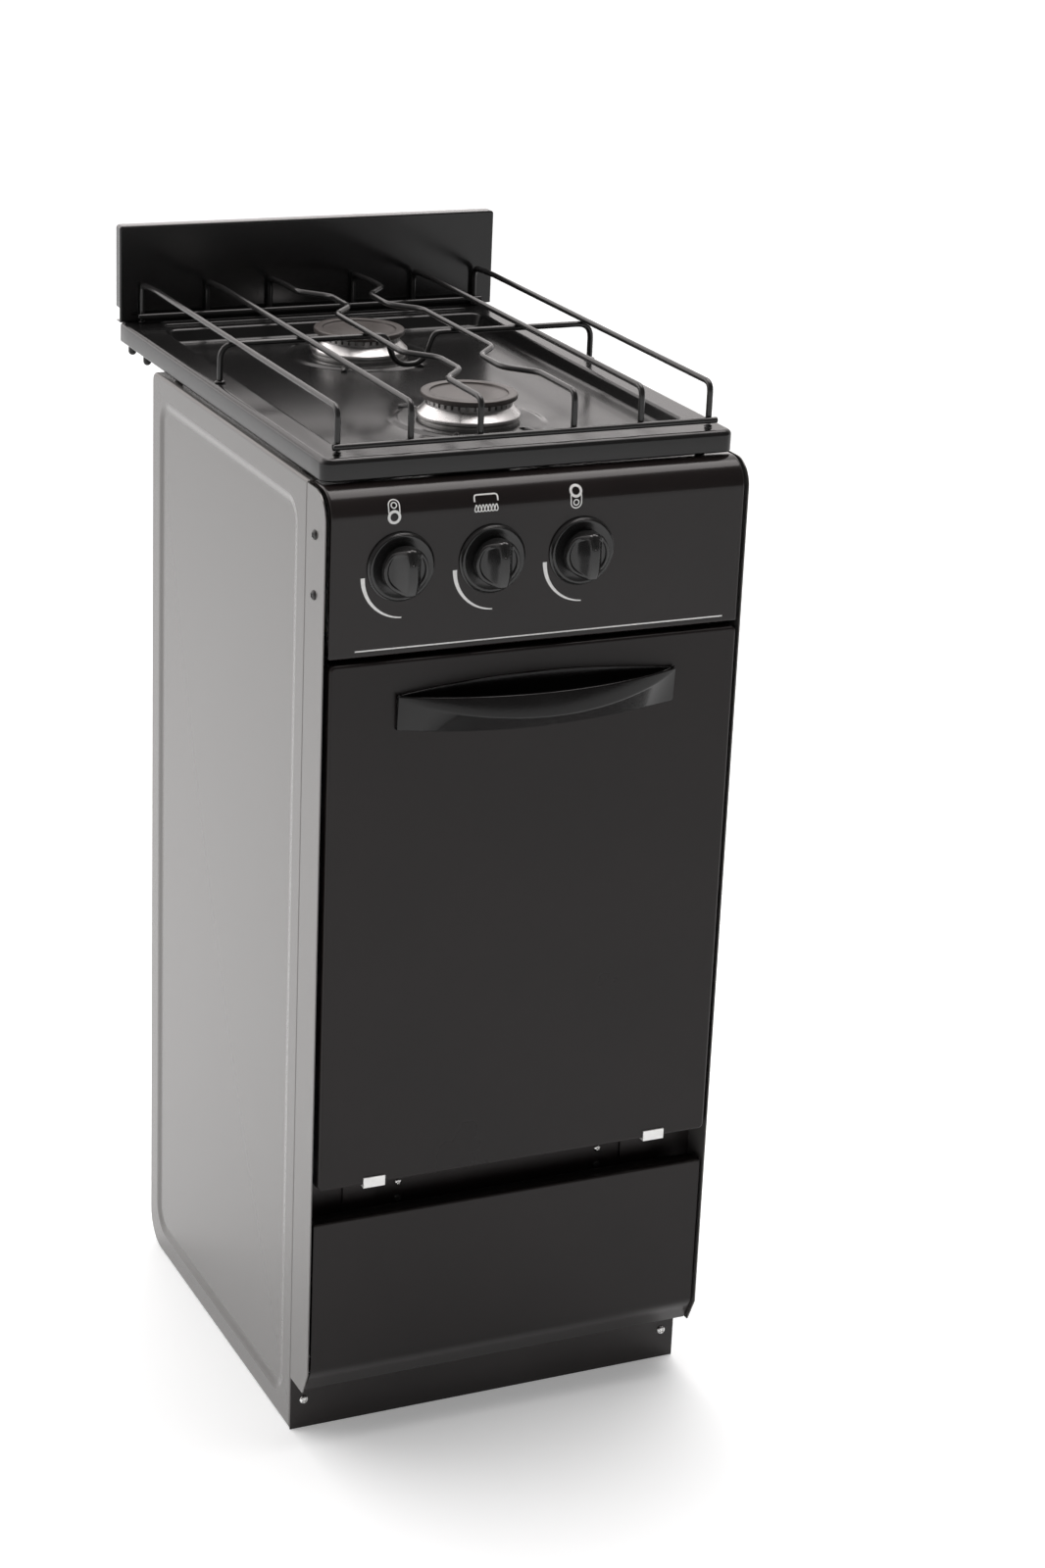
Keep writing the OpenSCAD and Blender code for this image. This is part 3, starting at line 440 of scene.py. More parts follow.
class GasRangeHob(bpy.types.PropertyGroup):
    """Sizes of the hob tray"""

    edge: length("Rim edge", "Radius of the rim's outer edge", 0.0045)
    corner: length("Rim corner", "Radius of the hob's corners", 0.009)
    rim: length("Rim width", "Flat rim beside the basin", 0.023)
    front_rim: length("Front rim", "Flat rim in front of the basin", 0.035)
    ledge: length("Ledge", "Depth of the ledge behind the basin", 0.046)
    basin: length("Basin depth", "Depth of the basin", 0.012)
    basin_corner: length("Basin corner", "Radius of the basin's corners", 0.016)
    ring: length("Ring", "Radius of the raised ring round a burner", 0.0645)
    ring_rise: length("Ring rise", "Height of that ring", 0.002)


class GasRangeControls(bpy.types.PropertyGroup):
    """Sizes of the knobs and the printed marks"""

    knob_base: length("Knob skirt", "Thickness of a knob's skirt", 0.006)
    grip: length("Grip", "Half width of a knob's grip", 0.0042)
    icon_height: length("Icon height", "Height of the icons over the knobs", 0.044)
    print_rise: length("Print rise", "Thickness of the printed marks", 0.00006)


class GasRangeBurner(bpy.types.PropertyGroup):
    """Sizes of the burners and the grate"""

    ports: IntProperty(name="Ports", description="Flame ports in a crown", default=36, min=12)
    wire: length("Wire", "Diameter of the grate's wire", 0.005)
    bend: length("Bend", "Radius of the wire's bends", 0.008)


class GasRangeStage(bpy.types.PropertyGroup):
    """Floor and light"""

    floor_white: colour("Floor", "Colour of the floor", (0.93, 0.965, 0.975))
    floor_glow: FloatProperty(name="Floor glow", description="Light it gives off, to stay white", default=0.24)
    warmth: colour("Warmth", "Colour of the light", (1.0, 0.955, 0.945))
    overhead: FloatProperty(name="Overhead", description="Power of the softbox above", default=44.0, unit="POWER")
    rear: FloatProperty(name="Rear", description="Power of the softbox at the back left", default=14.0, unit="POWER")
    ambient: FloatProperty(name="Ambient", description="Strength of the even light", default=1.75)


# ---------- operators ----------


class PieceOperator:
    """Shared by the operators: they can be undone, and build from the sizes kept on the scene."""

    bl_options = {"REGISTER", "UNDO"}

    def execute(self, context):
        self.build(context.scene)
        return {"FINISHED"}


class GASRANGE_OT_finishes(PieceOperator, bpy.types.Operator):
    """Make the procedural finishes and give the CAD nodes that stay visible their materials"""

    bl_idname = "gas_range.finishes"
    bl_label = "Finishes"

    def build(self, scene):
        c = scene.gas_range_finish
        finish("satin_enamel", c.satin_black, 0.30, 0.03, gloss=0.23, bump=0.035, bump_scale=900, tint_scale=9)
        # kick_enamel is a lighter copy of the satin enamel: its lighter colour is painted light, standing for the
        # floor's light on the kick plate
        finish("kick_enamel", (0.021, 0.0175, 0.017), 0.24, 0.03, gloss=0.32, bump=0.03, bump_scale=800,
               tint_scale=9)
        finish("panel_enamel", c.satin_black, 0.17, 0.03, gloss=0.30, bump=0.02, bump_scale=800, tint_scale=9)
        finish("galvanised", (0.44, 0.45, 0.46), 0.42, 0.10, metal=1.0, tint=0.22, tint_scale=90,
               bump=0.05, bump_scale=160)
        finish(
            "oven_enamel", (0.030, 0.031, 0.034), 0.24, 0.05, bump=0.05, bump_scale=500,
            speck=0.16, speck_scale=520, speck_colour=(0.20, 0.20, 0.21),
        )
        finish("hinge_steel", (0.86, 0.86, 0.85), 0.38, 0.06, metal=0.35, tint=0.06, tint_scale=120,
               bump=0.05, bump_scale=700)
        finish(
            "spun_aluminium", (0.66, 0.655, 0.65), 0.30, 0.05, metal=1.0, tint=0.07, tint_scale=50,
            bump=0.10, bump_scale=260, stretch=(0.12, 0.12, 9),
        )
        finish("cast_aluminium", (0.56, 0.56, 0.55), 0.48, 0.08, metal=1.0, tint=0.18, tint_scale=120,
               bump=0.3, bump_scale=500)
        finish("aluminium_tube", (0.72, 0.72, 0.72), 0.3, 0.06, metal=1.0, tint=0.08, tint_scale=90,
               bump=0.05, bump_scale=500)
        finish("handle_plastic", (0.0050, 0.0047, 0.0047), 0.15, 0.03, gloss=0.34, tint=0.2, tint_scale=30,
               bump=0.03, bump_scale=600)
        finish("rack_chrome", (0.70, 0.70, 0.72), 0.2, 0.06, metal=1.0, tint=0.08, tint_scale=90,
               bump=0.04, bump_scale=500)
        finish("white_print", c.print_white, 0.5, 0.04, gloss=0.35, tint=0.06, tint_scale=300,
               bump=0.05, bump_scale=900)
        for name, names in NODES_OF_FINISH.items():
            for node in names.split():
                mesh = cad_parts[node].data
                mesh.materials.clear()
                mesh.materials.append(bpy.data.materials[name])


class GASRANGE_OT_side_panels(PieceOperator, bpy.types.Operator):
    """Build both side panels with a field pressed into each"""

    bl_idname = "gas_range.side_panels"
    bl_label = "Side panels"

    def build(self, scene):
        p = scene.gas_range_sheet
        for side, node in ((-1, "side_panel_left"), (1, "side_panel_right")):
            lo, hi = box(node)
            half_y, half_z = (hi[1] - lo[1]) / 2, (hi[2] - lo[2]) / 2
            middle = (lo + hi) / 2
            outer = np.array([0.030, 0.008, 0.002, 0.002])
            field = np.array([0.026, 0.022, 0.022, 0.022])
            inset, depth = roll_over(p.side_fold, p.flange)
            t = np.linspace(0, 1, 9)
            # slope into the field: its depth follows a cubic with level ends
            slope_in = p.field_margin + p.field_slope * t
            slope_out = p.field_depth * smooth_step(t, 0, 1)
            innermost = p.field_margin + p.field_slope + 0.002
            inset = np.concatenate([[innermost], slope_in[::-1], [p.field_margin - 0.001], inset])
            depth = np.concatenate([[p.field_depth], slope_out[::-1], [0], depth])
            in_field = inset > p.field_margin - 0.002
            radii = np.where(in_field[:, None], field - (inset - p.field_margin)[:, None], outer - inset[:, None])
            loops = soft_loops(half_y - inset, half_z - inset, radii, 10, 8)
            x = (hi[0] if side > 0 else lo[0]) - side * depth
            points = along_x(x[:, None], middle[1:] + loops)
            name = "side_skin_right" if side > 0 else "side_skin_left"
            piece(name, [skin(points, True, True)], "side_enamel", "root", [node], wall=p.wall * 0.98)


class GASRANGE_OT_hob(PieceOperator, bpy.types.Operator):
    """Build the pressed hob tray: rim, basin, burner rings and the ledge's ribs"""

    bl_idname = "gas_range.hob"
    bl_label = "Hob tray"

    def build(self, scene):
        p = scene.gas_range_hob
        lo, hi = box("hob_tray")
        top = box("splashback")[0][2]
        front, back = box("burner_crown_front"), box("burner_crown_rear")
        burners = [(front[0] + front[1]) / 2, (back[0] + back[1]) / 2]
        middle = (lo + hi) / 2
        half_w, half_d = (hi[0] - lo[0]) / 2, (hi[1] - lo[1]) / 2
        # outer wall: turned-in foot, foot bend, wall, round edge, flat rim
        a = quarter(7)
        foot = 0.0015
        inset = np.concatenate([[0.014, 0.004], foot * (1 - np.sin(a)), p.edge * (1 - np.cos(a)), [p.edge + 0.001]])
        level = np.concatenate([[lo[2]] * 2, lo[2] + foot * (1 - np.cos(a)), top - p.edge * (1 - np.sin(a)), [top]])
        outer = soft_loops(half_w - inset, half_d - inset, (p.corner - inset)[:, None], 8, 24)
        outer += middle[:2]
        # basin: round shoulder, sloping wall, fillet to the floor
        basin_lo = np.array([lo[0] + p.rim, lo[1] + p.front_rim])
        basin_hi = np.array([hi[0] - p.rim, hi[1] - p.ledge])
        half = (basin_hi - basin_lo) / 2
        b_mid = (basin_hi + basin_lo) / 2
        shoulder, fillet, floor = 0.0035, 0.004, top - p.basin
        lean = np.radians(72)
        s = np.linspace(0, lean, 7)
        run = [np.array([-0.0012]), shoulder * np.sin(s)]
        fall = [np.array([0.0]), shoulder * (1 - np.cos(s))]
        drop = p.basin - (shoulder + fillet) * (1 - np.cos(lean))
        run.append(run[-1][-1:] + drop / np.tan(lean) + fillet * (np.sin(lean) - np.sin(s[::-1])))
        fall.append(p.basin - fillet * (1 - np.cos(s[::-1])))
        run, fall = np.concatenate(run), np.concatenate(fall)
        run = np.append(run, run[-1] + 0.001)
        fall = np.append(fall, p.basin)
        inner = soft_loops(half[0] - run, half[1] - run, (p.basin_corner - run)[:, None], 8, 24) + b_mid
        flat = np.concatenate([outer, inner])
        z = np.concatenate([level, top - fall])
        parts = [skin(at_height(flat, z))]
        # floor: two halves, each from its rectangle to the ring round its burner
        edge_lo, edge_hi, corner = basin_lo + run[-1], basin_hi - run[-1], p.basin_corner - run[-1]
        seam = (burners[0][1] + burners[1][1]) / 2
        hole = (box("burner_cup_front")[1][0] - box("burner_cup_front")[0][0]) / 2 - 0.005
        for n, burner in enumerate(burners):
            y0, y1 = (edge_lo[1], seam) if n == 0 else (seam, edge_hi[1])
            keep = np.array([corner, 0, 0, corner]) if n == 0 else np.array([0, corner, corner, 0])
            loop = soft_loops((edge_hi[0] - edge_lo[0]) / 2, (y1 - y0) / 2, keep, 8, 24)[0]
            loop += [(edge_lo[0] + edge_hi[0]) / 2, (y0 + y1) / 2]
            away = loop - burner[:2]
            reach = np.linalg.norm(away, axis=1, keepdims=True)
            ray = away / reach
            spread = np.linspace(0, 1, 6)[:, None, None]
            apron = burner[:2] + ray * (reach * (1 - spread) + (p.ring + RING_BEND) * spread)
            rise, bend = np.linspace(0, 1, 9), a[:6]
            r = np.concatenate([
                p.ring + RING_BEND - np.linspace(0, 0.0095, 9), [hole + 0.004],
                hole + RING_BEND * (1 - np.sin(bend)), [hole],
            ])
            up = np.concatenate([
                p.ring_rise * smooth_step(rise, 0, 1), [p.ring_rise],
                p.ring_rise - RING_BEND * (1 - np.cos(bend)), [-0.004],
            ])
            ring = burner[:2] + ray * r[:, None, None]
            flat = np.concatenate([apron, ring[1:]])
            z = np.concatenate([np.zeros(6), up[1:]]) + floor
            parts.append(skin(at_height(flat, z)))
            # radial ribs: half of a long ellipsoid laid on the ring's slope
            for degrees in (-57, -123, 57, 123):
                along = np.array([np.cos(np.radians(degrees)), np.sin(np.radians(degrees))])
                across = np.array([-along[1], along[0]])
                u, v = np.linspace(0.02, np.pi - 0.02, 18)[:, None], np.linspace(0, 2 * np.pi, 20, endpoint=False)
                line = burner[:2] + along * (0.0585 + 0.0105 * np.cos(u))[..., None]
                spot = line + across * (0.0032 * np.sin(u) * np.cos(v))[..., None]
                height = floor + 0.0008 + 0.0032 * np.sin(u) * np.sin(v)
                parts.append(skin(np.dstack([spot, height]), True, True, True))
        # ribs on the ledge behind the basin: flat-ended loops whose edges are rounded over
        for from_back in (0.032, 0.020):
            c = quarter(6)
            shrink = 0.0016 * (1 - np.cos(c))
            rib = soft_loops(half_w - 0.032 - shrink, 0.0025 - shrink, (0.0024 - shrink)[:, None], 6, 4)
            rib += [middle[0], hi[1] - from_back ]
            z = top - 0.0003 + 0.0018 * np.sin(c)
            parts.append(skin(at_height(rib, z), True, True, True))
        piece("hob_skin", parts, "gloss_enamel", "root", ["hob_tray"], sharp=50)


class GASRANGE_OT_splashback(PieceOperator, bpy.types.Operator):
    """Build the folded splashback"""

    bl_idname = "gas_range.splashback"
    bl_label = "Splashback"

    def build(self, scene):
        wall = scene.gas_range_sheet.wall
        lo, hi = box("splashback")
        middle = (lo + hi) / 2
        inset, depth = roll_over(0.0014, hi[1] - lo[1])
        radii = np.array([0.0005, 0.003, 0.003, 0.0005]) - inset[:, None]
        loops = soft_loops((hi[0] - lo[0]) / 2 - inset, (hi[2] - lo[2]) / 2 - inset, radii, 6, 12)
        y = lo[1] + depth
        verts, faces = skin(at_depth(loops, middle, y), True, True)
        # the side flanges stop short of the hob
        spot = verts[np.array([f[:3] for f in faces])].mean(1)
        flange = (spot[:, 1] > lo[1] + 0.003) & (np.abs(spot[:, 0]) > hi[0] - 0.001) & (spot[:, 2] < lo[2] + 0.014)
        faces = [f for f, gone in zip(faces, flange) if not gone]
        piece("splashback_skin", [(verts, faces)], "gloss_enamel", "root", ["splashback"],
              wall=wall * FOLD_SHARE)


def panel_profile(scene, arc=26):
    """Section (y, z) of the control panel's outer face, from lower lip to top edge, and its outward normals."""
    roll = scene.gas_range_sheet.panel_roll
    lo, hi = box("control_panel")
    lip = 0.0018
    a = quarter(6)
    b = quarter(arc)
    y = np.concatenate([
        [lo[1] + 0.018], lo[1] + lip * (1 - np.sin(a)), [lo[1]] * 4, lo[1] + roll * (1 - np.cos(b)), [hi[1] - 0.001],
    ])
    flat = np.linspace(lo[2] + 0.004, hi[2] - roll - 0.002, 4)
    z = np.concatenate([[lo[2]], lo[2] + lip * (1 - np.cos(a)), flat, hi[2] - roll + roll * np.sin(b), [hi[2]]])
    ny = np.concatenate([[0], -np.sin(a), [-1] * 4, -np.cos(b), [0]])
    nz = np.concatenate([[-1], -np.cos(a), [0] * 4, np.sin(b), [1]])
    return np.stack([y, z], -1), np.stack([ny, nz], -1)


class GASRANGE_OT_control_panel(PieceOperator, bpy.types.Operator):
    """Build the control panel with its rolled top and folded ends"""

    bl_idname = "gas_range.control_panel"
    bl_label = "Control panel"

    def build(self, scene):
        wall = scene.gas_range_sheet.wall
        lo, hi = box("control_panel")
        half = (hi[0] - lo[0]) / 2
        outline, normal = panel_profile(scene)
        fold = 0.0018
        a = quarter(6)
        # near each end the section is drawn in along its normals by a quarter circle, then a short cheek
        edge_x = half - fold + fold * np.sin(a)
        edge_in = fold * (1 - np.cos(a))
        inner = np.array([half - fold - 0.0008])
        x = np.concatenate([inner, edge_x, [half]])
        drawn = np.concatenate([[0], edge_in, [fold + 0.007]])
        x = np.concatenate([-x[::-1], np.linspace(-half + 0.02, half - 0.02, 9), x])
        drawn = np.concatenate([drawn[::-1], np.zeros(9), drawn])
        limit = np.where(outline[:, 1] < lo[2] + 0.012, fold, 1.0)
        pull = np.minimum(drawn[None, :], limit[:, None])
        section = outline[:, None] - normal[:, None] * pull[..., None]
        piece("control_panel_skin", [skin(along_x(x, section), False)], "panel_enamel", "root", ["control_panel"],
              sharp=50, wall=wall * FOLD_SHARE)


class GASRANGE_OT_panel_prints(PieceOperator, bpy.types.Operator):
    """Lay the printed icons, flame-size arcs and line on the control panel"""

    bl_idname = "gas_range.panel_prints"
    bl_label = "Panel prints"

    def build(self, scene):
        roll = scene.gas_range_sheet.panel_roll
        rise = scene.gas_range_controls.print_rise
        icon = scene.gas_range_controls.icon_height
        lo, hi = box("control_panel")
        bend = hi[2] - roll

        def on_panel(x, h, lift):
            """A point at width x and height h on the panel, lifted off it; past the bend, height is arc length."""
            over = np.maximum(h - bend, 0) / roll
            y = np.where(h > bend, lo[1] + roll - (roll + lift) * np.cos(over), lo[1] - lift)
            z = np.where(h > bend, bend + (roll + lift) * np.sin(over), h)
            return np.stack([x, y, z], -1)

        def ribbon(path, width, closed):
            """Thin flat band along a path, resampled to short steps: its two edges lie half a width to each side."""
            path = np.asarray(path, float)
            if closed:
                path = np.vstack([path, path[:1]])
            run = np.append(0, np.cumsum(np.linalg.norm(np.diff(path, axis=0), axis=1)))
            even = np.linspace(0, run[-1], max(len(path), int(run[-1] / 0.0008)) + 1)
            width = np.interp(even, run, np.broadcast_to(width, len(run)))
            path = np.stack([np.interp(even, run, path[:, k]) for k in (0, 1)], -1)
            if closed:
                path, width = path[:-1], width[:-1]
                way = np.roll(path, -1, 0) - np.roll(path, 1, 0)
            else:
                way = np.gradient(path, axis=0)
            way /= np.linalg.norm(way, axis=1, keepdims=True)
            off = np.stack([-way[:, 1], way[:, 0]], -1) * np.reshape(width, (-1, 1)) / 2
            left, right = path + off, path - off
            sides = ((left, -2e-5), (left, rise), (right, rise), (right, -2e-5))
            rails = [on_panel(s[:, 0], s[:, 1], q) for s, q in sides]
            grid = np.stack(rails, 1)
            if closed:
                grid = np.concatenate([grid, grid[:1]])
            return skin(grid, True, not closed, not closed)

        def circle(x, h, r, n=40):
            a = np.arange(n) * 2 * np.pi / n
            return np.stack([x + r * np.cos(a), h + r * np.sin(a)], -1)

        parts = []
        knobs = [(sum(box(n)) / 2) for n in ("knob_left", "knob_center", "knob_right")]
        for n, centre in enumerate(knobs):
            x, z = centre[0] - 0.0062, centre[2] + icon
            if n == 1:
                w, h = 0.0098, 0.0075
                brow, top = z + h - 0.0055, z + h
                hood = rounded_path([(x - w, brow), (x - w, top), (x + w, top), (x + w, brow)], 0.003)
                parts.append(ribbon(hood, 0.0012, False))
                # row of small flames: each is a drop, a circle drawn out to a point at its top
                for k in range(7):
                    a = np.arange(20) * 2 * np.pi / 20
                    drop = np.stack([
                        x - w + 0.0014 + k * (2 * w - 0.0028) / 6 + 0.00125 * np.cos(a) * (1 - 0.35 * np.sin(a)),
                        z - 0.0035 + 0.0023 * np.sin(a) + 0.0009 * np.maximum(np.sin(a), 0) ** 3,
                    ], -1)
                    parts.append(ribbon(drop, 0.00085, True))
            else:
                bold = -1 if n == 0 else 1
                big, small = z + bold * 0.0046, z - bold * 0.0046
                parts.append(ribbon(circle(x, big, 0.0044), 0.0022, True))
                parts.append(ribbon(circle(x, small, 0.0022, 30), 0.0009, True))
                a = np.linspace(0, np.pi, 26) + (np.pi if bold > 0 else 0)
                hood = np.stack([x + 0.0045 * np.cos(a), small + 0.0045 * np.sin(a)], -1)
                foot = np.array([[0.0045 * (1 if bold < 0 else -1), bold * 0.0062]])
                hood = np.vstack([[x + foot[0, 0], small + foot[0, 1]], hood, [x - foot[0, 0], small + foot[0, 1]]])
                parts.append(ribbon(hood, 0.0009, False))
            # arc that narrows from the large flame to the small one
            a = np.radians(np.linspace(180, 268, 40))
            arc = np.stack([centre[0] + 0.003 + 0.034 * np.cos(a), centre[2] - 0.007 + 0.034 * np.sin(a)], -1)
            parts.append(ribbon(arc, np.linspace(0.0035, 0.0009, 40), False))
        line_x = np.linspace(lo[0] + 0.0215, hi[0] - 0.0135, 30)
        parts.append(ribbon(np.stack([line_x, np.full(30, lo[2] + 0.0055)], -1), 0.0011, False))
        piece("panel_prints", parts, "white_print", "root", [], sharp=60)


class GASRANGE_OT_knobs(PieceOperator, bpy.types.Operator):
    """Build the three knobs and their bezels"""

    bl_idname = "gas_range.knobs"
    bl_label = "Knobs"

    def build(self, scene):
        p = scene.gas_range_controls
        bezels = []
        lo_b, hi_b = box("knob_bezels")
        thick = hi_b[1] - lo_b[1]
        r = (hi_b[2] - lo_b[2]) / 2
        for name in ("left", "center", "right"):
            lo, hi = box(f"knob_{name}")
            middle = (lo + hi) / 2
            outer, tall = (hi[0] - lo[0]) / 2, hi[1] - lo[1]

            def relief(x, z, outer=outer, tall=tall):
                """Skirt with a rounded rim, a grip whose sides fall in a hollow curve, and a notch at its top."""
                rho = np.hypot(x, z)
                side = np.abs(x)
                grip = 1 - smooth_step(side, p.grip - 0.0012, p.grip + 0.0086) ** 0.7
                crown = 1 - 0.30 * np.abs(z / outer) ** 2.6
                h = p.knob_base - 0.0015 + (tall - p.knob_base + 0.0015) * grip * crown
                h = h + 0.0011 * smooth_step(rho, outer * 0.80, outer * 0.88) * (1 - grip)
                rim = np.sqrt(np.clip(1 - (np.clip(rho - (outer - 0.0016), 0, None) / 0.0016) ** 2, 0, 1))
                h = h - 0.0016 * (1 - rim)
                notch = (1 - smooth_step(side, 0.0006, 0.0013)) * smooth_step(z, outer * 0.38, outer * 0.44)
                return h - 0.0012 * notch

            verts, faces = polar_relief((middle[0], hi[1], middle[2]), outer, relief, 0.0, 64, 200)
            piece(f"knob_grip_{name}", [(verts, faces)], "black_plastic", f"tap_{name}", [f"knob_{name}"],
                  sharp=55)
            c = quarter(6)
            edge = 0.0012
            profile = [(0.0055, thick * 0.74), (r - 0.009, thick * 0.74), (r - 0.0062, thick * 0.78)]
            profile += [(r - 0.0040, thick * 0.93)]
            profile += [(r - 0.0028 + edge * np.sin(t), thick * 0.985 - edge * (1 - np.cos(t))) for t in c]
            profile += [(r - 0.0009, thick * 0.45), (r, thick * 0.30), (r, 0)]
            bezels.append(lathe(profile, (middle[0], hi_b[1], middle[2]), 128, "y", False))
        piece("bezels", bezels, "black_plastic", "root", ["knob_bezels"], sharp=50)


class GASRANGE_OT_door(PieceOperator, bpy.types.Operator):
    """Build the oven door's outer panel"""

    bl_idname = "gas_range.door"
    bl_label = "Door panel"

    def build(self, scene):
        p = scene.gas_range_sheet
        lo, hi = box("door_outer_panel")
        inner = box("door_inner_panel")
        middle = (lo + hi) / 2
        inset, depth = roll_over(p.door_fold, inner[1][1] - 0.009 - lo[1])
        inset, depth = np.append(inset, 0), np.insert(depth, -1, 0.011)
        half_w, half_h = (hi[0] - lo[0]) / 2, (hi[2] - lo[2]) / 2
        loops = soft_loops(half_w - inset, half_h - inset, (p.door_corner - inset)[:, None], 8, 0)
        # columns at the hinge notches, added to the lower side
        arm_hi = box("hinge_arms")[1]
        notch = np.array([arm_hi[0] - 0.0225, arm_hi[0] + 0.0035])
        start, end = loops[:, -1], loops[:, 0]
        stations = np.concatenate([-notch[::-1], notch])
        t = ((stations[None] - start[:, :1]) / (end[:, :1] - start[:, :1]))[..., None]
        extra = start[:, None] * (1 - t) + end[:, None] * t
        loops = np.concatenate([loops, extra], 1)
        y = lo[1] + depth
        verts, faces = skin(at_depth(loops, middle, y), True, True)
        spot = np.array([verts[f].mean(0) for f in faces])
        open_ = (spot[:, 2] < lo[2] + 0.001) & (spot[:, 1] > lo[1] + 0.0112)
        open_ &= (np.abs(spot[:, 0]) > notch[0]) & (np.abs(spot[:, 0]) < notch[1])
        faces = [f for f, gone in zip(faces, open_) if not gone]
        piece("door_skin", [(verts, faces)], "satin_enamel", "door", ["door_outer_panel"],
              wall=p.wall * FOLD_SHARE)


class GASRANGE_OT_handle(PieceOperator, bpy.types.Operator):
    """Mould the door handle: a bowed lip in front of a finger pocket"""

    bl_idname = "gas_range.handle"
    bl_label = "Door handle"

    def build(self, scene):
        lo, hi = box("door_handle")
        half = (hi[0] - lo[0]) / 2
        face = hi[1]
        reach = hi[1] - lo[1]
        # stations are closer together at the ends
        u = np.sin(np.linspace(-np.pi / 2, np.pi / 2, 81))
        x = u * half
        bow = 1 - u**2
        lip = face - 0.005 - (reach - 0.005) * bow
        top = hi[2] - 0.0085
        low = top - 0.0006 - 0.0184 * bow**0.8
        arc_low = lo[2] + 0.0095 * (1 - bow)
        arc_high = hi[2] - 0.0085 * (1 - bow)
        pocket = np.maximum(top - 0.018 * bow**0.6, low + 0.002)
        # the front leans back towards its upper edge
        upper = lip + 0.0034 * bow
        thick = 0.0008 + 0.0022 * bow**0.5
        back = np.full_like(x, face - 0.002)
        corners = np.stack([
            np.stack([np.full_like(x, face), arc_low], -1),
            np.stack([np.full_like(x, face - 0.003), arc_low], -1),
            np.stack([lip, low], -1),
            np.stack([upper, np.full_like(x, top)], -1),
            np.stack([np.minimum(upper + thick, back - 0.0005), np.full_like(x, top)], -1),
            np.stack([np.minimum(upper + thick, back - 0.0005), pocket], -1),
            np.stack([back, pocket], -1),
            np.stack([back, arc_high], -1),
            np.stack([np.full_like(x, face), arc_high], -1),
        ], 1)
        rounding = np.array([1e-5, 0.0012, 0.0014, 0.0018, 0.0008, 0.003, 0.003, 0.0008, 1e-5])
        section = round_sections(corners, rounding, 6)
        points = along_x(x[:, None], section)
        # rounded ends: the last stations draw in a little
        for end, way in ((0, 1), (-1, -1)):
            cap = points[end].copy()
            mid = cap.mean(0)
            end_bend = way * 0.0012
            turns = quarter(5)[1:]
            grow = [mid + (cap - mid) * (1 - 0.10 * (1 - np.cos(t))) - [end_bend * np.sin(t), 0, 0] for t in turns]
            grow = np.stack(grow)
            grow[..., 1] = np.minimum(grow[..., 1], face)
            grow[..., 0] += end_bend
            points = np.concatenate([grow[::-1], points]) if end == 0 else np.concatenate([points, grow])
        points[..., 0] = np.clip(points[..., 0], -half, half)
        piece("handle_moulding", [skin(points, True, True, True)], "handle_plastic", "door", ["door_handle"],
              sharp=42)


class GASRANGE_OT_drawer_front(PieceOperator, bpy.types.Operator):
    """Fold the drawer front"""

    bl_idname = "gas_range.drawer_front"
    bl_label = "Drawer front"

    def build(self, scene):
        p = scene.gas_range_sheet
        lo, hi = box("drawer_front")
        corners = [(hi[1], hi[2]), (lo[1], hi[2]), (lo[1], lo[2] + p.drawer_bend), (lo[1] + 0.011, lo[2])]
        path = rounded_path(corners, [[0.0022], [0.0030]], 8)
        flat = np.array([[lo[1], hi[2] - 0.003], [lo[1], lo[2] + p.drawer_bend + 0.004]])
        path = np.vstack([path[:9], flat, path[9:]])
        edge = 0.0006
        x = np.concatenate([[lo[0], lo[0] + edge], np.linspace(lo[0] + 0.02, hi[0] - 0.02, 7), [hi[0] - edge, hi[0]]])
        section = np.broadcast_to(path[:, None], (len(path), len(x), 2))
        piece("drawer_skin", [skin(along_x(x, section), False)], "satin_enamel", "drawer", ["drawer_front"],
              sharp=50, wall=p.wall * FOLD_SHARE)


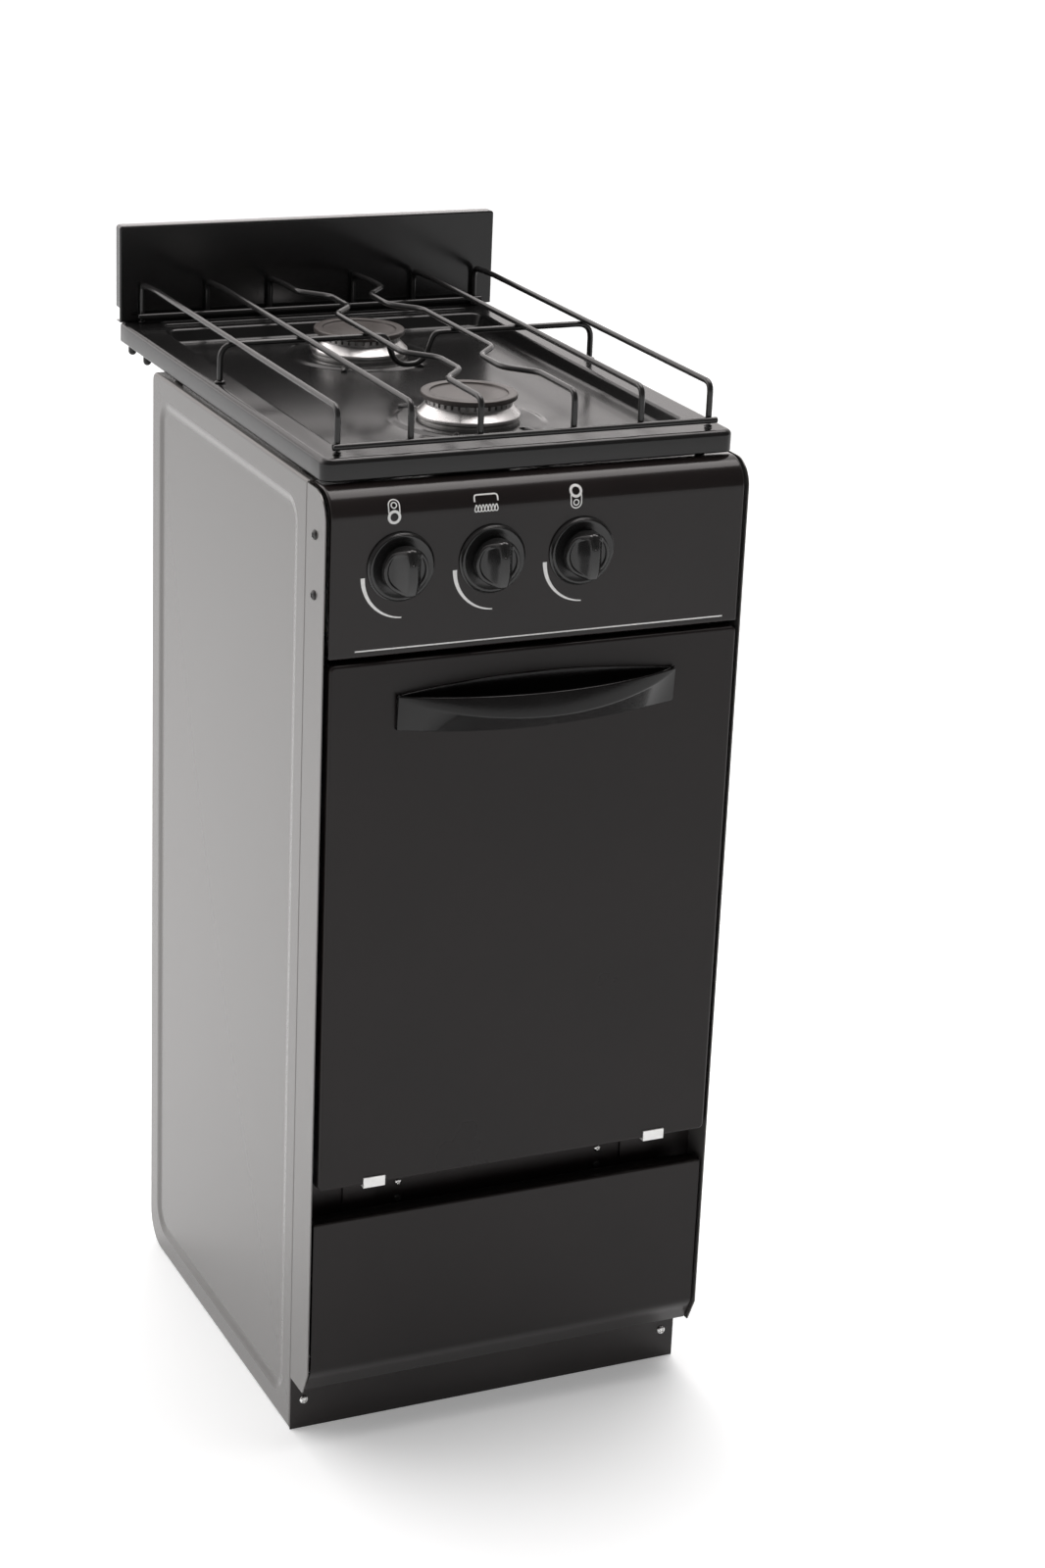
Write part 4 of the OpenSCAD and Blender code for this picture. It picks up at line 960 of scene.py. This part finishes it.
class GASRANGE_OT_burners(PieceOperator, bpy.types.Operator):
    """Turn the burner crowns and caps"""

    bl_idname = "gas_range.burners"
    bl_label = "Burners"

    def build(self, scene):
        ports = scene.gas_range_burner.ports
        for place in ("front", "rear"):
            lo, hi = box(f"burner_crown_{place}")
            c_lo, c_hi = box(f"burner_cap_{place}")
            middle = (lo + hi) / 2
            wide, cap = (hi[0] - lo[0]) / 2, (c_hi[0] - c_lo[0]) / 2
            base, tall = lo[2], hi[2] - lo[2]
            # crown: radius and height down its outside; the port band is pressed in at each slot
            r = np.array([cap - 0.009, cap - 0.0044] + [cap - 0.004] * 6 + [
                wide - 0.0022, wide - 0.0006, wide - 0.0001, wide, wide, wide - 0.0008, wide - 0.002, cap - 0.010])
            z = np.array([tall, tall, tall - 0.0004, tall - 0.0008, tall - 0.0038, tall - 0.0041,
                          tall - 0.0046, tall - 0.0054, 0.0052, 0.0040, 0.0034, 0.0028, 0.0012, 0.0004, 0.0, 0.0])
            columns = ports * 8
            angle = np.arange(columns) * 2 * np.pi / columns
            phase = np.abs((np.arange(columns) % 8) - 3.5)
            slot = (phase < 1.2).astype(float)
            band = np.zeros(len(r))
            band[1:5] = 1
            radius = r[:, None] - 0.0035 * band[:, None] * slot
            points = at_height(np.stack([radius * np.cos(angle), radius * np.sin(angle)], -1), z)
            points += [middle[0], middle[1], base]
            piece(f"crown_{place}", [skin(points, True, True, True)], "spun_aluminium", "root",
                  [f"burner_crown_{place}"], sharp=40)
            a = quarter(6)
            h = c_hi[2]
            rim = [(cap - 0.0012 + 0.0012 * np.sin(t), h - 0.0012 * (1 - np.cos(t))) for t in a]
            foot = c_lo[2]
            profile = [(cap - 0.010, foot), (cap - 0.010, foot + 0.0028)]
            profile += [(cap - 0.0008, foot + 0.003), (cap, foot + 0.0036)]
            profile += rim[::-1] + [
                (cap - 0.0066, h), (cap - 0.0074, h - 0.0003), (cap - 0.0079, h - 0.0016),
                (cap - 0.0088, h - 0.0019), (cap - 0.012, h - 0.0016), (0.012, h - 0.0013),
            ]
            piece(f"cap_{place}", [lathe(profile, (middle[0], middle[1], 0), 128)], "cap_enamel", "root",
                  [f"burner_cap_{place}"], sharp=45)


class GASRANGE_OT_grate(PieceOperator, bpy.types.Operator):
    """Bend and weld the wire grate"""

    bl_idname = "gas_range.grate"
    bl_label = "Grate"

    def build(self, scene):
        p = scene.gas_range_burner
        lo, hi = box("grate")
        hob = box("hob_tray")
        d, r = p.wire, p.wire / 2
        top = hi[2] - r
        rim = box("splashback")[0][2]
        front, rear = lo[1] + 1.04 * r + d - 0.0005, hi[1] - 1.04 * r
        bar_z = rim + r + 0.004
        foot = rim + 0.0004
        burners = [sum(box(f"burner_crown_{n}"))[1] / 2 for n in ("front", "rear")]
        cross_y = sum(burners) / 2 + 0.006
        half = hob[1][0]
        wires = [half - 0.017, half - 0.0775, 0.040]
        parts = []
        for side in (-1, 1):
            for n, x in enumerate(wires):
                low = foot + r if n == 0 else bar_z - 0.001
                path = [(side * x, front, low), (side * x, front, top)]
                if n == 2:
                    kink = ((-0.046, x), (-0.021, 0.018), (0.021, 0.018), (0.046, x))
                    path += [(side * q, y + s, top) for y in burners for s, q in kink]
                path.append((side * x, rear - 0.040, top))
                path += [(side * x, rear, top - 0.002), (side * x, rear, low)]
                parts.append(tube(path, r, p.bend))
        for y in (front - d + 0.0006, rear - d + 0.0006):
            parts.append(tube([(-wires[0] - 0.005, y, bar_z), (0, y, bar_z), (wires[0] + 0.005, y, bar_z)], r))
        cx, cz = half - 0.008, top - d + 0.0005
        right_half = [(cx, foot + r), (cx, cz), (0.022, cz), (0.0125, cz - 0.026)]
        bridge = right_half + [(-x, z) for x, z in right_half[::-1]]
        bends = np.array([[0.013], [0.006], [0.013], [0.013], [0.006], [0.013]])
        parts.append(tube([(x, cross_y, z) for x, z in bridge], r, bends))
        # a flattened foot under each leg that reaches the rim
        legs = [(s * wires[0], q) for s in (-1, 1) for q in (front, rear)] + [(s * cx, cross_y) for s in (-1, 1)]
        for x, y in legs:
            wide = 0.0046 if y == cross_y else 0.0034
            pad = [(wide * 0.8, 0.0), (wide, 0.0003), (wide, 0.0008), (wide * 0.85, 0.0014), (0.0025, 0.0018)]
            parts.append(lathe(pad, (x, y, foot), 24))
        piece("wire_grate", parts, "grate_enamel", "grate_rack", ["grate"], sharp=60)


class GASRANGE_OT_screws(PieceOperator, bpy.types.Operator):
    """Make the visible screw heads with cross recesses"""

    bl_idname = "gas_range.screws"
    bl_label = "Screws"

    def build(self, scene):
        lo, hi = box("kick_screws")
        r = (hi[2] - lo[2]) / 2
        kick = box("kick_plate")[0][1]
        z = (lo[2] + hi[2]) / 2
        parts = [screw_head((x, kick, z), r, kick - lo[1]) for x in (lo[0] + r, hi[0] - r)]
        piece("kick_screw_heads", parts, "bright_steel", "root", ["kick_screws"], sharp=60)
        lo, hi = box("post_screws")
        side = box("post_right")[1][0]
        r = 0.004
        y = (lo[1] + hi[1]) / 2
        parts = []
        for z in (lo[2] + r, hi[2] - r):
            parts.append(screw_head((side, y, z), r, hi[0] - side, "right"))
            parts.append(screw_head((-side, y, z), r, hi[0] - side, "left"))
        piece("post_screw_heads", parts, "black_screw", "root", ["post_screws"], sharp=60)
        lo, hi = box("back_screws")
        flange = box("side_panel_right")[1][1]
        r = 0.0036
        places = [(x, flange, z) for x in (lo[0] + r, hi[0] - r) for z in (lo[2] + r, hi[2] - r)]
        parts = [screw_head(place, r, hi[1] - flange, "back") for place in places]
        piece("back_screw_heads", parts, "bright_steel", "root", ["back_screws"], sharp=60)
        lo, hi = box("rail_screws")
        rail = box("cross_rail_lower")[0][1]
        r = 0.0032
        for row, z, tone in (("upper", hi[2] - r, "bright_steel"), ("lower", lo[2] + r, "black_screw")):
            parts = [screw_head((x, rail, z), r, rail - lo[1]) for x in (lo[0] + r, hi[0] - r)]
            piece(f"rail_screw_heads_{row}", parts, tone, "root", ["rail_screws"], sharp=60)


class GASRANGE_OT_stage(PieceOperator, bpy.types.Operator):
    """Set up the pale floor, the studio light and the camera"""

    bl_idname = "gas_range.stage"
    bl_label = "Stage"

    def build(self, scene):
        p = scene.gas_range_stage
        pale = finish("floor_paper", p.floor_white, 0.9, 0.02, gloss=0.05, tint=0.01, tint_scale=2, bump_scale=90)
        paper = pale.node_tree.nodes["Principled BSDF"]
        paper.inputs["Emission Color"].default_value = (1, 1, 1, 1)
        paper.inputs["Emission Strength"].default_value = p.floor_glow
        u = np.linspace(-24, 24, 9)
        gx, gy = np.meshgrid(u, u, indexing="ij")
        verts, faces = skin(np.dstack([gx, gy, np.zeros_like(gx)]), False)
        mesh = bpy.data.meshes.new("floor")
        mesh.from_pydata(verts.tolist(), [], faces)
        floor = bpy.data.objects.new("floor", mesh)
        scene.collection.objects.link(floor)
        mesh.materials.append(pale)

        world = bpy.data.worlds.new("studio")
        scene.world = world
        world.use_nodes = True
        nodes, links = world.node_tree.nodes, world.node_tree.links
        even = nodes["Background"]
        even.inputs["Color"].default_value = [*p.warmth, 1]
        where = nodes.new("ShaderNodeTexCoord")
        split = nodes.new("ShaderNodeSeparateXYZ")
        links.new(where.outputs["Generated"], split.inputs["Vector"])
        eye = nodes.new("ShaderNodeLightPath")

        def ramp(axis, start, end, low, high):
            """Brightness that goes from low to high between two values of one component of the direction."""
            node = nodes.new("ShaderNodeMapRange")
            node.inputs["From Min"].default_value, node.inputs["From Max"].default_value = start, end
            node.inputs["To Min"].default_value, node.inputs["To Max"].default_value = low, high
            links.new(split.outputs[axis], node.inputs["Value"])
            return node.outputs["Result"]

        def combine(operation, first, second):
            node = nodes.new("ShaderNodeMath")
            node.operation = operation
            for socket, value in zip(node.inputs, (first, second)):
                if isinstance(value, float):
                    socket.default_value = value
                else:
                    links.new(value, socket)
            return node.outputs["Value"]

        # darker low in front and to the right, so that glossy fronts read as black; a dark flag low behind,
        # seen only in reflections, keeps the basin black
        level = combine("MULTIPLY", ramp("Y", -0.35, 0.40, 0.10, 1.0), ramp("X", 0.45, 0.95, 1.0, 0.35))
        flag = combine("MULTIPLY", ramp("Z", 0.195, 0.215, 0.0, 1.0), ramp("Z", 0.254, 0.272, 1.0, 0.0))
        flag = combine("MULTIPLY", flag, ramp("Y", 0.70, 0.82, 0.0, 1.0))
        flag = combine("MULTIPLY", flag, ramp("X", 0.392, 0.402, 0.995, 0.83))
        flag = combine("MULTIPLY", flag, eye.outputs["Is Glossy Ray"])
        level = combine("MULTIPLY", level, combine("SUBTRACT", 1.0, flag))
        whole = combine("MAXIMUM", eye.outputs["Is Camera Ray"], level)
        links.new(combine("MULTIPLY", whole, p.ambient), even.inputs["Strength"])

        def softbox(name, place, target, size, energy):
            light = bpy.data.lights.new(name, "AREA")
            light.shape = "RECTANGLE"
            light.size, light.size_y = size
            light.energy = energy
            light.color = p.warmth
            obj = bpy.data.objects.new(name, light)
            scene.collection.objects.link(obj)
            obj.location = place
            way = np.array(target, float) - np.array(place, float)
            obj.rotation_euler = Vector(way).to_track_quat("-Z", "Y").to_euler()

        softbox("softbox_overhead", (0.5, 0.3, 2.9), (0, 0, 0.6), (2.2, 1.6), p.overhead)
        softbox("softbox_rear_left", (-1.9, 1.6, 1.9), (-0.75, 0.9, 0.0), (2.2, 1.6), p.rear)

        camera = bpy.data.cameras.new("camera")
        camera.sensor_width = 36.0
        camera.lens = CAMERA_LENS
        camera.clip_start, camera.clip_end = 0.05, 100
        eye_obj = bpy.data.objects.new("camera", camera)
        scene.collection.objects.link(eye_obj)
        eye_obj.location = CAMERA_PLACE
        turn = (
            Matrix.Rotation(np.radians(CAMERA_PAN), 3, "Z")
            @ Matrix.Rotation(np.radians(90 - CAMERA_FALL), 3, "X")
            @ Matrix.Rotation(np.radians(CAMERA_ROLL), 3, "Z")
        )
        eye_obj.rotation_euler = turn.to_euler()
        scene.camera = eye_obj
        scene.view_settings.view_transform = "Standard"


class GASRANGE_PT_panel(bpy.types.Panel):
    """Lists the range's pieces"""

    bl_idname = "GASRANGE_PT_panel"
    bl_label = "Gas range"
    bl_space_type = "VIEW_3D"
    bl_region_type = "UI"
    bl_category = "Gas range"

    def draw(self, context):
        for operator in OPERATORS:
            self.layout.operator(operator.bl_idname)


GROUPS = {
    "gas_range_finish": GasRangeFinish,
    "gas_range_sheet": GasRangeSheet,
    "gas_range_hob": GasRangeHob,
    "gas_range_controls": GasRangeControls,
    "gas_range_burner": GasRangeBurner,
    "gas_range_stage": GasRangeStage,
}
OPERATORS = (
    GASRANGE_OT_finishes,
    GASRANGE_OT_side_panels,
    GASRANGE_OT_hob,
    GASRANGE_OT_splashback,
    GASRANGE_OT_control_panel,
    GASRANGE_OT_panel_prints,
    GASRANGE_OT_knobs,
    GASRANGE_OT_door,
    GASRANGE_OT_handle,
    GASRANGE_OT_drawer_front,
    GASRANGE_OT_burners,
    GASRANGE_OT_grate,
    GASRANGE_OT_screws,
    GASRANGE_OT_stage,
)


def register():
    for group in GROUPS.values():
        bpy.utils.register_class(group)
    for operator in OPERATORS:
        bpy.utils.register_class(operator)
    bpy.utils.register_class(GASRANGE_PT_panel)
    for name, group in GROUPS.items():
        setattr(bpy.types.Scene, name, PointerProperty(type=group))


def unregister():
    for name in GROUPS:
        delattr(bpy.types.Scene, name)
    bpy.utils.unregister_class(GASRANGE_PT_panel)
    for operator in reversed(OPERATORS):
        bpy.utils.unregister_class(operator)
    for group in reversed(GROUPS.values()):
        bpy.utils.unregister_class(group)


def main():
    register()
    for operator in OPERATORS:
        group, name = operator.bl_idname.split(".")
        getattr(getattr(bpy.ops, group), name)()


if __name__ == "__main__":
    main()
